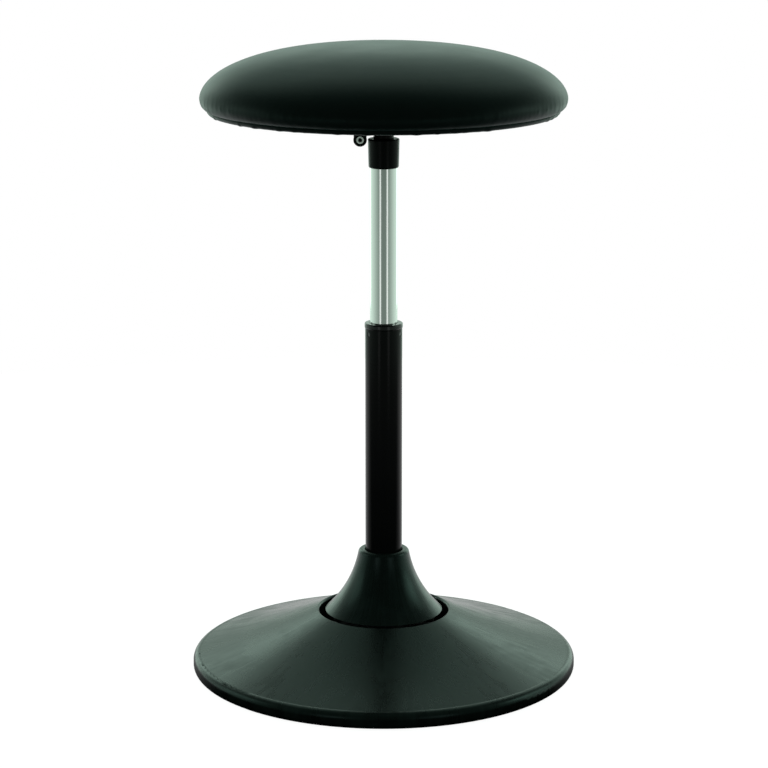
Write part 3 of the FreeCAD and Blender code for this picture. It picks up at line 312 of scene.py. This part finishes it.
def makePlywood():
    look = plywood
    material, tree, shader, place = startFinish("birch plywood")
    along = addNode(tree, "ShaderNodeMapping", {"Scale": (look["grainSquash"], 1, 1)}, {"Vector": place})
    grain = addNode(tree, "ShaderNodeTexNoise",
                    {"Scale": perMm(look["grainMm"]), "Detail": 5.0, "Distortion": look["grainBend"]},
                    {"Vector": along.outputs[0]})
    height = addNode(tree, "ShaderNodeSeparateXYZ", links={0: place})
    layer = addNode(tree, "ShaderNodeMath", {1: look["veneerMm"] * mm}, {0: height.outputs["Z"]},
                    operation="PINGPONG")
    seam = addNode(tree, "ShaderNodeMapRange",
                   {"From Min": 0.0, "From Max": look["glueMm"] * mm, "To Min": 1.0, "To Max": 0.0},
                   {"Value": layer.outputs[0]})
    tone = addNode(tree, "ShaderNodeMix", {6: linear(look["dark"]), 7: linear(look["pale"])},
                   {0: grain.outputs["Fac"]}, data_type="RGBA")
    glued = addNode(tree, "ShaderNodeMix", {7: linear(look["glue"])},
                    {0: seam.outputs["Result"], 6: tone.outputs[2]}, data_type="RGBA")
    tree.links.new(glued.outputs[2], shader.inputs["Base Color"])
    shader.inputs["Roughness"].default_value = look["rough"]
    return material


# Spun-bonded polypropylene cloth: thin matte black with point bonds in rows and stray fibres
dustCloth = dict(dark="#0a0a0b", light="#1a1b1b", bondMm=2.2, bondTurn=45, bondDepth=0.0002, bondStrength=0.7,
                 fibreMm=0.8, fibreBend=2.0, rough=0.85)


def makeDustCloth():
    look = dustCloth
    material, tree, shader, place = startFinish("spun bonded dust cloth")
    turned = addNode(tree, "ShaderNodeMapping", {"Rotation": (0, 0, math.radians(look["bondTurn"]))},
                     {"Vector": place})
    bond = addNode(tree, "ShaderNodeTexVoronoi", {"Scale": perMm(look["bondMm"]), "Randomness": 0.0},
                   {"Vector": turned.outputs[0]})
    fibre = addNode(tree, "ShaderNodeTexNoise",
                    {"Scale": perMm(look["fibreMm"]), "Detail": 4.0, "Distortion": look["fibreBend"]},
                    {"Vector": place})
    tone = addNode(tree, "ShaderNodeMix", {6: linear(look["dark"]), 7: linear(look["light"])},
                   {0: fibre.outputs["Fac"]}, data_type="RGBA")
    bump = addNode(tree, "ShaderNodeBump", {"Strength": look["bondStrength"], "Distance": look["bondDepth"]},
                   {"Height": bond.outputs["Distance"]})
    tree.links.new(tone.outputs[2], shader.inputs["Base Color"])
    tree.links.new(bump.outputs["Normal"], shader.inputs["Normal"])
    shader.inputs["Roughness"].default_value = look["rough"]
    return material


leather = makeLeatherette()
finishOf = {name: makeFinish(name, look) for name, look in finishes.items()}
dressing = [
    (makeMouldedFoot(), ["base_cover", "cone_cover"]),
    (makeChromePlate(), ["gas_cylinder"]),
    (finishOf["black powder coated steel"], ["column_tube", "seat_plate", "release_lever"]),
    (finishOf["black dip painted steel"], ["seat_socket", "lever_clip"]),
    (finishOf["black acetal"], ["guide_bush", "lever_grip", "lever_bushes"]),
    (finishOf["natural nylon"], ["bearing_cage"]),
    (finishOf["vulcanised rubber"], ["anti_slip_ring", "lower_rubber_ring", "upper_rubber_ring", "bump_stop",
                                     "piston_ring", "rod_seal"]),
    (finishOf["ground steel"], ["pivot_cup", "pivot_ball", "tube_floor", "bearing_lower_race",
                                "bearing_upper_race", "bearing_balls", "piston_rod", "valve_pin"]),
    (finishOf["zinc plated steel"], ["cover_screws", "housing_screws", "t_nuts", "bolt_washers",
                                     "seat_bolts"]),
    # the clamp screws' black is partly black oxide and partly painted shade in the gap round the cone
    (finishOf["black oxide steel and painted shade"], ["clamp_screws", "tube_grub_screws"]),
    (finishOf["zinc flake coated steel"], ["rod_clip"]),
    (finishOf["die cast aluminium"], ["tilt_hub"]),
    # painted shade: the spring housing and clamp ring are dark because the gap round the cone is in shade
    (finishOf["casting darkened as painted shade"], ["spring_housing", "clamp_ring"]),
    (finishOf["turned brass"], ["piston", "rod_guide", "valve_body"]),
    (finishOf["painted ballast plate"], ["ballast_plate"]),
    (makePlywood(), ["seat_board"]),
    (makeDustCloth(), ["dust_cloth"]),
    (leather, ["seat_cover", "seat_foam"]),
]
for material, names in dressing:
    for name in names:
        nodes[name].data.materials.clear()
        nodes[name].data.materials.append(material)
print("finishes on all solid pieces:", sum(len(names) for material, names in dressing) == len(nodes))


# Seat pad: foam and leatherette over the board, drawn in under the edge. Sizes in millimetres.
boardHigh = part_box("seat_board")[1]
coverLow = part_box("seat_cover")[0]
seatPad = dict(radius=184.7, crown=55.2, crownPower=2.44, edgePower=2.0, edgeDrop=12.8, boardClear=0.4,
               lipRise=0.6, poleRadius=1.5, topStart=0.02, topPoints=44, edgePoints=9, sides=144,
               startSmaller=0.9, voxel=4.5,
               pressure=4.0, mass=0.25, stretch=22, bend=2.0, quality=5, frames=20, heldAbove=2, heldPast=1,
               mostMove=1.6, taut=12, tautShare=0.5, measured=0.85, drawnFrom=0.6, meanPower=2.2)
seatPad["widest"] = coverLow.z / mm + seatPad["edgeDrop"]
seatPad["boardRadius"] = boardHigh.x / mm + seatPad["boardClear"]
seatPad["boardTop"] = boardHigh.z / mm + seatPad["boardClear"]


def padProfile(pad, smaller):
    # half outline from the top's middle: a superellipse crown, a quarter round under the edge, then up round
    # the board and in along its top
    radius, crown, drop = pad["radius"] - smaller, pad["crown"] - smaller, pad["edgeDrop"] - smaller
    crownTurn = np.linspace(pad["topStart"], math.pi / 2, pad["topPoints"])
    top = np.stack([radius * np.sin(crownTurn) ** (2 / pad["crownPower"]),
                    pad["widest"] + crown * np.cos(crownTurn) ** (2 / pad["edgePower"])], -1)
    edgeTurn = np.linspace(0, math.pi / 2, pad["edgePoints"])[1:]
    under = np.stack([radius - drop + drop * np.cos(edgeTurn), pad["widest"] - drop * np.sin(edgeTurn)], -1)
    lip = np.array([[pad["boardRadius"], pad["widest"] - drop + pad["lipRise"]],
                    [pad["boardRadius"], pad["boardTop"]],
                    [pad["boardRadius"] / 2, pad["boardTop"]],
                    [pad["poleRadius"], pad["boardTop"]]])
    return np.concatenate([top, under, lip])


def lathe(name, profile, sides, material):
    # profile turned about the upright axis, with a fan that closes each end
    turn = np.linspace(0, 2 * math.pi, sides, endpoint=False)
    across, up = profile[:, :1] * mm, np.repeat(profile[:, 1:] * mm, sides, 1)
    ringPoints = np.stack([across * np.cos(turn), across * np.sin(turn), up], -1).reshape(-1, 3)
    poles = np.array([[0, 0, profile[0, 1] * mm], [0, 0, profile[-1, 1] * mm]])
    faces = [face[::-1] for face in gridFaces(len(profile), sides)]
    here = np.arange(sides)
    after = (here + 1) % sides
    last = (len(profile) - 1) * sides
    total = len(ringPoints)
    faces += np.stack([np.full(sides, total), here, after], -1).tolist()
    faces += np.stack([np.full(sides, total + 1), last + after, last + here], -1).tolist()
    return meshPiece(name, np.concatenate([ringPoints, poles]), faces, material)


def readPoints(mesh):
    flat = np.empty(len(mesh.vertices) * 3)
    mesh.vertices.foreach_get("co", flat)
    return flat.reshape(-1, 3)


def writePoints(mesh, points):
    mesh.vertices.foreach_set("co", points.ravel())
    mesh.update()


def swellPad(piece, pad):
    # cloth under inner pressure, held where it meets the board, with each point's move capped
    onlySelected(piece)
    remesh = piece.modifiers.new("evenSkin", "REMESH")
    remesh.mode = "VOXEL"
    remesh.voxel_size = pad["voxel"] * mm
    bpy.ops.object.modifier_apply(modifier="evenSkin")
    before = readPoints(piece.data)
    reach = np.hypot(before[:, 0], before[:, 1]) / mm
    onBoard = before[:, 2] / mm < pad["boardTop"] + pad["heldAbove"]
    held = onBoard & (reach < pad["radius"] - pad["edgeDrop"] + pad["heldPast"])
    pins = piece.vertex_groups.new(name="onBoard")
    pins.add(np.flatnonzero(held).tolist(), 1.0, "REPLACE")
    cloth = piece.modifiers.new("skin", "CLOTH")
    cloth.settings.quality = pad["quality"]
    cloth.settings.mass = pad["mass"]
    cloth.settings.tension_stiffness = pad["stretch"]
    cloth.settings.compression_stiffness = pad["stretch"]
    cloth.settings.bending_stiffness = pad["bend"]
    cloth.settings.use_pressure = True
    cloth.settings.uniform_pressure_force = pad["pressure"]
    cloth.settings.vertex_group_mass = "onBoard"
    cloth.settings.effector_weights.gravity = 0
    cloth.point_cache.frame_start, cloth.point_cache.frame_end = 1, pad["frames"]
    for step in range(1, pad["frames"] + 1):
        scene.frame_set(step)
    after = readPoints(piece.evaluated_get(bpy.context.evaluated_depsgraph_get()).data)
    piece.modifiers.remove(cloth)
    scene.frame_set(1)
    move = after - before
    length = np.linalg.norm(move, axis=1, keepdims=True)
    capped = move * np.minimum(1, pad["mostMove"] * mm / np.maximum(length, 1e-9))
    writePoints(piece.data, before + capped)
    print(f"seat pad swelled: largest move {length.max() / mm:.1f} mm, mean {length.mean() / mm:.2f} mm")


def drawPad(piece, pad):
    # the swelled pad is smoothed, brought to its radius, and drawn most of the way to the measured
    # superellipse above its widest ring
    onlySelected(piece)
    taut = piece.modifiers.new("tautSkin", "SMOOTH")
    taut.factor, taut.iterations = pad["tautShare"], pad["taut"]
    bpy.ops.object.modifier_apply(modifier="tautSkin")
    points = readPoints(piece.data)
    points[:, :2] *= pad["radius"] * mm / np.hypot(points[:, 0], points[:, 1]).max()
    reach = np.hypot(points[:, 0], points[:, 1]) / (pad["radius"] * mm)
    height = np.maximum(points[:, 2] - pad["widest"] * mm, 0)
    share = reach ** pad["crownPower"] + (height / (pad["crown"] * mm)) ** pad["edgePower"]
    outer = (height > 0) & (share > pad["drawnFrom"])
    drawn = np.where(outer, share ** (-pad["measured"] / pad["meanPower"]), 1.0)
    points[:, :2] *= drawn[:, None]
    points[:, 2] += height * (drawn - 1)
    writePoints(piece.data, points)


# Gathers round the seat's edge, shared by the cushion and the hem: width in radians, bulge, startAbove, fade
# and fromReach in millimetres, and the rest plain numbers
gatherLook = dict(seed=7, count=84, width=0.017, steps=(0.55, 1.5), sizes=(0.15, 1.0), sizePower=3.5,
                  widths=(0.7, 1.4), meanHeight=0.35, bulge=0.6, startAbove=4, fade=16, fromReach=171)


def gathers(turn, look):
    # height of the gathers round the edge: narrow ridges at uneven steps, each with its own size
    chance = np.random.default_rng(look["seed"])
    step = chance.uniform(*look["steps"], look["count"])
    middle = np.cumsum(step) / step.sum() * 2 * math.pi
    size = chance.uniform(*look["sizes"], look["count"]) ** look["sizePower"]
    width = chance.uniform(*look["widths"], look["count"]) * look["width"]
    away = (turn[:, None] - middle[None, :] + math.pi) % (2 * math.pi) - math.pi
    return (size * np.exp(-(away / width) ** 2)).sum(1)


def gatherEdge(piece, pad, look):
    # the gathers press outwards through the pad's edge, more the lower it lies under the widest ring
    points = readPoints(piece.data)
    turn = np.arctan2(points[:, 1], points[:, 0])
    reach = np.hypot(points[:, 0], points[:, 1]) / mm
    below = np.clip((pad["widest"] + look["startAbove"] - points[:, 2] / mm) / look["fade"], 0, 1)
    outward = np.where(reach > look["fromReach"], 1.0, 0.0) * below ** 2
    press = outward * (gathers(turn, look) - look["meanHeight"]) * look["bulge"]
    points[:, :2] *= (1 + press / reach)[:, None]
    writePoints(piece.data, points)


seatCushion = lathe("seatCushion", padProfile(seatPad, seatPad["startSmaller"]), seatPad["sides"], leather)
swellPad(seatCushion, seatPad)
drawPad(seatCushion, seatPad)
gatherEdge(seatCushion, seatPad, gatherLook)
smoother = seatCushion.modifiers.new("roundSkin", "SUBSURF")
smoother.levels = smoother.render_levels = 1
seatCushion.data.shade_smooth()
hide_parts("seat_cover", "seat_foam")
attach(seatCushion, "seat")


# Hem: the leatherette pulled round the edge and stapled under the board, gathered into small pleats
hem = dict(outer=177.4, inner=149.2, seatLow=coverLow.z / mm, rise=4.6, sink=0.5, foldRadius=4.0,
           foldShare=0.3, pleatDrop=0.55, pleatBulge=0.5, pleatAt=0.24, pleatWide=0.22, rimRise=0.25,
           rows=18, turns=900, wall=1.2)


def hemSurface(turn, along, look):
    # along runs from 0 at the edge to 1 at the stapled rim: a quarter round, then flat under the board;
    # the gathers hang lowest near the end of the fold and flatten towards the staples
    fold = np.clip(along / look["foldShare"], 0, 1) * math.pi / 2
    flat = np.clip((along - look["foldShare"]) / (1 - look["foldShare"]), 0, 1)
    foldEdge = look["outer"] - look["foldRadius"]
    reach = look["outer"] - look["foldRadius"] * (1 - np.cos(fold)) - flat * (foldEdge - look["inner"])
    up = look["seatLow"] - look["sink"] + look["rise"] * (1 - np.sin(fold))
    ridge = gathers(turn, gatherLook)[None, :]
    hang = np.exp(-((along - look["pleatAt"]) / look["pleatWide"]) ** 2)[:, None]
    reach = reach[:, None] + look["pleatBulge"] * hang * (ridge - gatherLook["meanHeight"])
    up = up[:, None] - look["pleatDrop"] * hang * ridge + look["rimRise"] * flat[:, None]
    return np.stack([reach * np.cos(turn) * mm, reach * np.sin(turn) * mm, up * mm], -1)


hemTurn = np.linspace(-math.pi, math.pi, hem["turns"], endpoint=False)
hemPoints = hemSurface(hemTurn, np.linspace(0, 1, hem["rows"]), hem)
hemFaces = [face[::-1] for face in gridFaces(hem["rows"], hem["turns"])]
seatHem = meshPiece("seatHem", hemPoints, hemFaces, leather)
hemWall = seatHem.modifiers.new("hemWall", "SOLIDIFY")
hemWall.thickness = hem["wall"] * mm
hemWall.offset = -1
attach(seatHem, "seat")


# Staples that hold the hem to the board: flat wire, bent up at both ends
staples = dict(count=66, along=0.80, crown=10.0, leg=4.0, wireWide=1.2, wireThick=0.6, sunk=0.7, scatter=0.2,
               skew=0.35, seed=11)


def stapleRow(look):
    # one wire section carried along a path of four points, copied round the hem with a little scatter
    chance = np.random.default_rng(look["seed"])
    number = np.arange(look["count"])
    shift = chance.uniform(-look["scatter"], look["scatter"], look["count"])
    skew = chance.uniform(-look["skew"], look["skew"], look["count"])
    turn = (number + shift) / look["count"] * 2 * math.pi - math.pi
    seat = hemSurface(turn, np.array([look["along"]]), hem)[0]
    half, thick, wide = look["crown"] / 2 * mm, look["wireThick"] * mm, look["wireWide"] / 2 * mm
    pathAlong = np.array([-half, -half, half, half])
    pathUp = np.array([look["leg"] * mm, 0, 0, look["leg"] * mm])
    inward = np.array([[thick, 0], [thick, thick], [-thick, thick], [-thick, 0]])
    outerSide = np.stack([pathAlong, pathUp - thick * look["sunk"]], -1)
    innerSide = outerSide + inward
    section = np.stack([outerSide, outerSide, innerSide, innerSide], 1)
    across = np.array([-wide, wide, wide, -wide])
    outward = turn + skew
    level = np.zeros_like(outward)
    ways = np.stack([-np.sin(outward), np.cos(outward), level], -1)
    sides = np.stack([np.cos(outward), np.sin(outward), level], -1)
    points = (seat[:, None, None, :] + section[None, ..., :1] * ways[:, None, None, :]
              + across[None, None, :, None] * sides[:, None, None, :])
    points[..., 2] += section[None, ..., 1]
    stops, corners = section.shape[:2]
    first = number[:, None] * stops * corners
    here = first[:, :, None] + np.arange(stops - 1)[None, :, None] * corners
    side = np.arange(corners)
    nextSide = (side + 1) % corners
    quads = np.stack([here + side, here + nextSide, here + corners + nextSide, here + corners + side], -1)
    caps = np.concatenate([first + side[::-1], first + (stops - 1) * corners + side])
    return points, np.concatenate([quads.reshape(-1, corners), caps]).tolist()


staplePoints, stapleFaces = stapleRow(staples)
hemStaples = meshPiece("hemStaples", staplePoints, stapleFaces, finishOf["zinc plated steel"], smooth=False)
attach(hemStaples, "seat")
print("seat dressed: cushion, hem and", staples["count"], "staples")


# Ferrule on the front end of the lever's rod: a rolled lip beside the socket, coloured pale as a painted
# highlight
leverFerrule = dict(middle=2.85, halfWide=0.85, proud=0.45, rows=12, turns=48)


def ferruleSurface(look, centre):
    # an oval section carried round the rod's line: halfWide across the line, proud along it
    turn = np.linspace(0, 2 * math.pi, look["turns"], endpoint=False)[None, :]
    section = np.linspace(0, 2 * math.pi, look["rows"], endpoint=False)[:, None]
    reach = (look["middle"] + look["halfWide"] * np.cos(section)) * mm
    across, up = centre[0] + reach * np.cos(turn), centre[2] + reach * np.sin(turn)
    along = np.broadcast_to(centre[1] - look["proud"] * mm * np.sin(section), across.shape)
    faces = np.array(gridFaces(look["rows"] + 1, look["turns"])) % (look["rows"] * look["turns"])
    return np.stack([across, along, up], -1), faces.tolist()


bushLow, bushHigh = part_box("lever_bushes")
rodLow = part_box("release_lever")[0]
rodEnd = ((bushLow.x + bushHigh.x) / 2, rodLow.y, (bushLow.z + bushHigh.z) / 2)
# painted highlight: the ferrule's pale colour stands for the bright ring at the lever's end
leverEnd = meshPiece("leverFerrule", *ferruleSurface(leverFerrule, rodEnd), finishOf["pale ring as painted highlight"])
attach(leverEnd, "lever")
print("lever dressed: ferrule on its rod")


# Room that the gloss mirrors: dark in front and overhead, white behind. Ways along Y, and the heights along Z
# where the darkening starts and ends (Dims), are parts of a unit direction.
studio = dict(tint="#e0f8ea", fill=0.7, frontLevel=0.24, sideLevel=0.76, backLevel=1.0, zenithLevel=0.14,
              whiteWay=0.6, frontWay=-0.6, backWay=0.4, frontDims=(-0.16, -0.03), backDims=(0.05, 0.64))

# Paper sweep under the stool: reach and places in metres from the middle
paperFloor = dict(reach=1.5, sides=96, shown=0.95, paper="#6a6c6b", darkWithin=0.4, paleFrom=-0.1,
                  paleAt=0.35)


def makeFloor(look, room):
    material = bpy.data.materials.new("white paper sweep")
    material.use_nodes = True
    tree = material.node_tree
    tree.nodes.clear()
    rays = addNode(tree, "ShaderNodeLightPath")
    place = addNode(tree, "ShaderNodeTexCoord").outputs["Object"]
    depth = addNode(tree, "ShaderNodeSeparateXYZ", links={0: place})
    behind = addNode(tree, "ShaderNodeMapRange", {"From Min": look["paleFrom"], "From Max": look["paleAt"]},
                     {"Value": depth.outputs["Y"]})
    # gloss shows the floor dark close to the foot, as painted shade round it, and as pale as the room's front
    # at the floor's edge
    reach = addNode(tree, "ShaderNodeVectorMath", links={0: place}, operation="LENGTH")
    ahead = addNode(tree, "ShaderNodeMapRange",
                    {"From Min": look["darkWithin"], "From Max": look["reach"], "To Max": room["frontLevel"]},
                    {"Value": reach.outputs["Value"]})
    level = addNode(tree, "ShaderNodeMath", links={0: behind.outputs["Result"], 1: ahead.outputs["Result"]},
                    operation="MAXIMUM")
    seen = addNode(tree, "ShaderNodeMix", {"A": 0.0, "B": look["shown"]},
                   {"Factor": rays.outputs["Is Camera Ray"]})
    mirrored = addNode(tree, "ShaderNodeMath", links={0: rays.outputs["Is Glossy Ray"], 1: level.outputs[0]},
                       operation="MULTIPLY")
    strength = addNode(tree, "ShaderNodeMath", links={0: seen.outputs["Result"], 1: mirrored.outputs[0]},
                       operation="MAXIMUM")
    glow = addNode(tree, "ShaderNodeEmission", links={"Strength": strength.outputs[0]})
    paper = addNode(tree, "ShaderNodeBsdfDiffuse", {"Color": linear(look["paper"])})
    unmirrored = addNode(tree, "ShaderNodeMixShader",
                         links={0: rays.outputs["Is Glossy Ray"], 1: paper.outputs[0]})
    both = addNode(tree, "ShaderNodeAddShader", links={0: glow.outputs[0], 1: unmirrored.outputs[0]})
    addNode(tree, "ShaderNodeOutputMaterial", links={"Surface": both.outputs[0]})
    turn = np.linspace(0, 2 * math.pi, look["sides"], endpoint=False)
    edge = np.stack([np.cos(turn), np.sin(turn), np.zeros_like(turn)], -1) * look["reach"]
    floor = meshPiece("floor", edge, [list(range(look["sides"]))], material, smooth=False)


def makeWorld(look):
    world = bpy.data.worlds.new("studio")
    scene.world = world
    world.use_nodes = True
    tree = world.node_tree
    tree.nodes.clear()
    rays = addNode(tree, "ShaderNodeLightPath")
    way = addNode(tree, "ShaderNodeTexCoord").outputs["Generated"]
    depth = addNode(tree, "ShaderNodeSeparateXYZ", links={0: way})
    front = addNode(tree, "ShaderNodeMapRange",
                    {"From Min": -1.0, "From Max": 0.0,
                     "To Min": look["frontLevel"], "To Max": look["sideLevel"]},
                    {"Value": depth.outputs["Y"]})
    back = addNode(tree, "ShaderNodeMapRange",
                   {"From Max": look["whiteWay"], "To Max": look["backLevel"] - look["sideLevel"]},
                   {"Value": depth.outputs["Y"]})
    around = addNode(tree, "ShaderNodeMath", links={0: front.outputs["Result"], 1: back.outputs["Result"]},
                     operation="ADD")
    # the room darkens upwards, from lower down in front than behind
    dims = [addNode(tree, "ShaderNodeMapRange",
                    {"From Min": look["frontWay"], "From Max": look["backWay"],
                     "To Min": inFront, "To Max": atBack}, {"Value": depth.outputs["Y"]}).outputs["Result"]
            for inFront, atBack in zip(look["frontDims"], look["backDims"])]
    above = addNode(tree, "ShaderNodeMapRange", {"To Min": 1.0, "To Max": look["zenithLevel"]},
                    {"Value": depth.outputs["Z"], "From Min": dims[0], "From Max": dims[1]})
    mirrored = addNode(tree, "ShaderNodeMath", links={0: around.outputs[0], 1: above.outputs["Result"]},
                       operation="MULTIPLY")
    glossy = addNode(tree, "ShaderNodeMath", operation="MAXIMUM",
                     links={0: rays.outputs["Is Glossy Ray"], 1: rays.outputs["Is Transmission Ray"]})
    level = addNode(tree, "ShaderNodeMix", {"A": look["fill"]},
                    {"Factor": glossy.outputs[0], "B": mirrored.outputs[0]})
    soft = addNode(tree, "ShaderNodeBackground", {"Color": linear(look["tint"])},
                   {"Strength": level.outputs["Result"]})
    white = addNode(tree, "ShaderNodeBackground", {"Color": (1, 1, 1, 1), "Strength": 1.0})
    pick = addNode(tree, "ShaderNodeMixShader",
                   links={0: rays.outputs["Is Camera Ray"], 1: soft.outputs[0], 2: white.outputs[0]})
    addNode(tree, "ShaderNodeOutputWorld", links={"Surface": pick.outputs[0]})


# Soft boxes in the room's tint above, behind and beside the stool, and two white strips low in front, which
# draw the bright lines on the chrome
lamps = {
    "overheadBox": dict(place=(0.0, 1.55, 2.05), aim=(0, 0, 0.1), width=2.4, height=0.45, watts=2.6),
    "seatBox": dict(place=(0.0, 0.32, 1.18), aim=(0, 0, 0.66), width=1.2, height=0.4, watts=0.75),
    "backBox": dict(place=(0.0, 2.1, 1.12), aim=(0, 0, 0.5), width=3.0, height=0.64, watts=7.0),
    "leftBackBox": dict(place=(-1.05, 1.5, 0.7), aim=(0, 0, 0.5), width=0.8, height=1.4, watts=3.5),
    "rightBackBox": dict(place=(1.05, 1.5, 0.7), aim=(0, 0, 0.5), width=0.8, height=1.4, watts=3.5),
    "leftSideBox": dict(place=(-1.6, 0.1, 0.75), aim=(0, 0, 0.1), width=0.8, height=0.6, watts=1.3),
    "rightSideBox": dict(place=(1.6, 0.1, 0.75), aim=(0, 0, 0.1), width=0.8, height=0.6, watts=2.2),
    "leftStrip": dict(place=(-0.57, -1.06, 0.24), aim=(0, 0, 0.45), width=0.26, height=0.36, watts=0.20,
                      colour="#ffffff"),
    "rightStrip": dict(place=(0.60, -1.04, 0.24), aim=(0, 0, 0.45), width=0.26, height=0.36, watts=0.20,
                       colour="#ffffff"),
}


def makeLamps():
    for name, look in lamps.items():
        light = bpy.data.lights.new(name, "AREA")
        light.shape = "RECTANGLE"
        light.size, light.size_y = look["width"], look["height"]
        light.energy = look["watts"]
        light.color = linear(look.get("colour", studio["tint"]))[:3]
        lamp = bpy.data.objects.new(name, light)
        lamp.location = look["place"]
        lamp.rotation_euler = (Vector(look["aim"]) - lamp.location).to_track_quat("-Z", "Y").to_euler()
        scene.collection.objects.link(lamp)


# Camera fitted to the photograph: focal length and shift in points of a square picture, sensor in millimetres
view = dict(aim=(0.0, 0.0, 0.3025), distance=2.687, pitch=12.975, picture=768, focal=2620.9,
            shift=0.28, sensor=36)


def makeCamera(look):
    data = bpy.data.cameras.new("photoCamera")
    data.sensor_width = look["sensor"]
    data.lens = look["focal"] / look["picture"] * look["sensor"]
    data.shift_x = look["shift"] / look["picture"]
    camera = bpy.data.objects.new("photoCamera", data)
    pitch = math.radians(look["pitch"])
    camera.location = Vector(look["aim"]) + Vector((0, -math.cos(pitch), math.sin(pitch))) * look["distance"]
    camera.rotation_euler = (math.pi / 2 - pitch, 0, 0)
    scene.collection.objects.link(camera)
    scene.camera = camera


makeFloor(paperFloor, studio)
makeWorld(studio)
makeLamps()
makeCamera(view)
scene.view_settings.view_transform = "Standard"
print("studio and camera set")
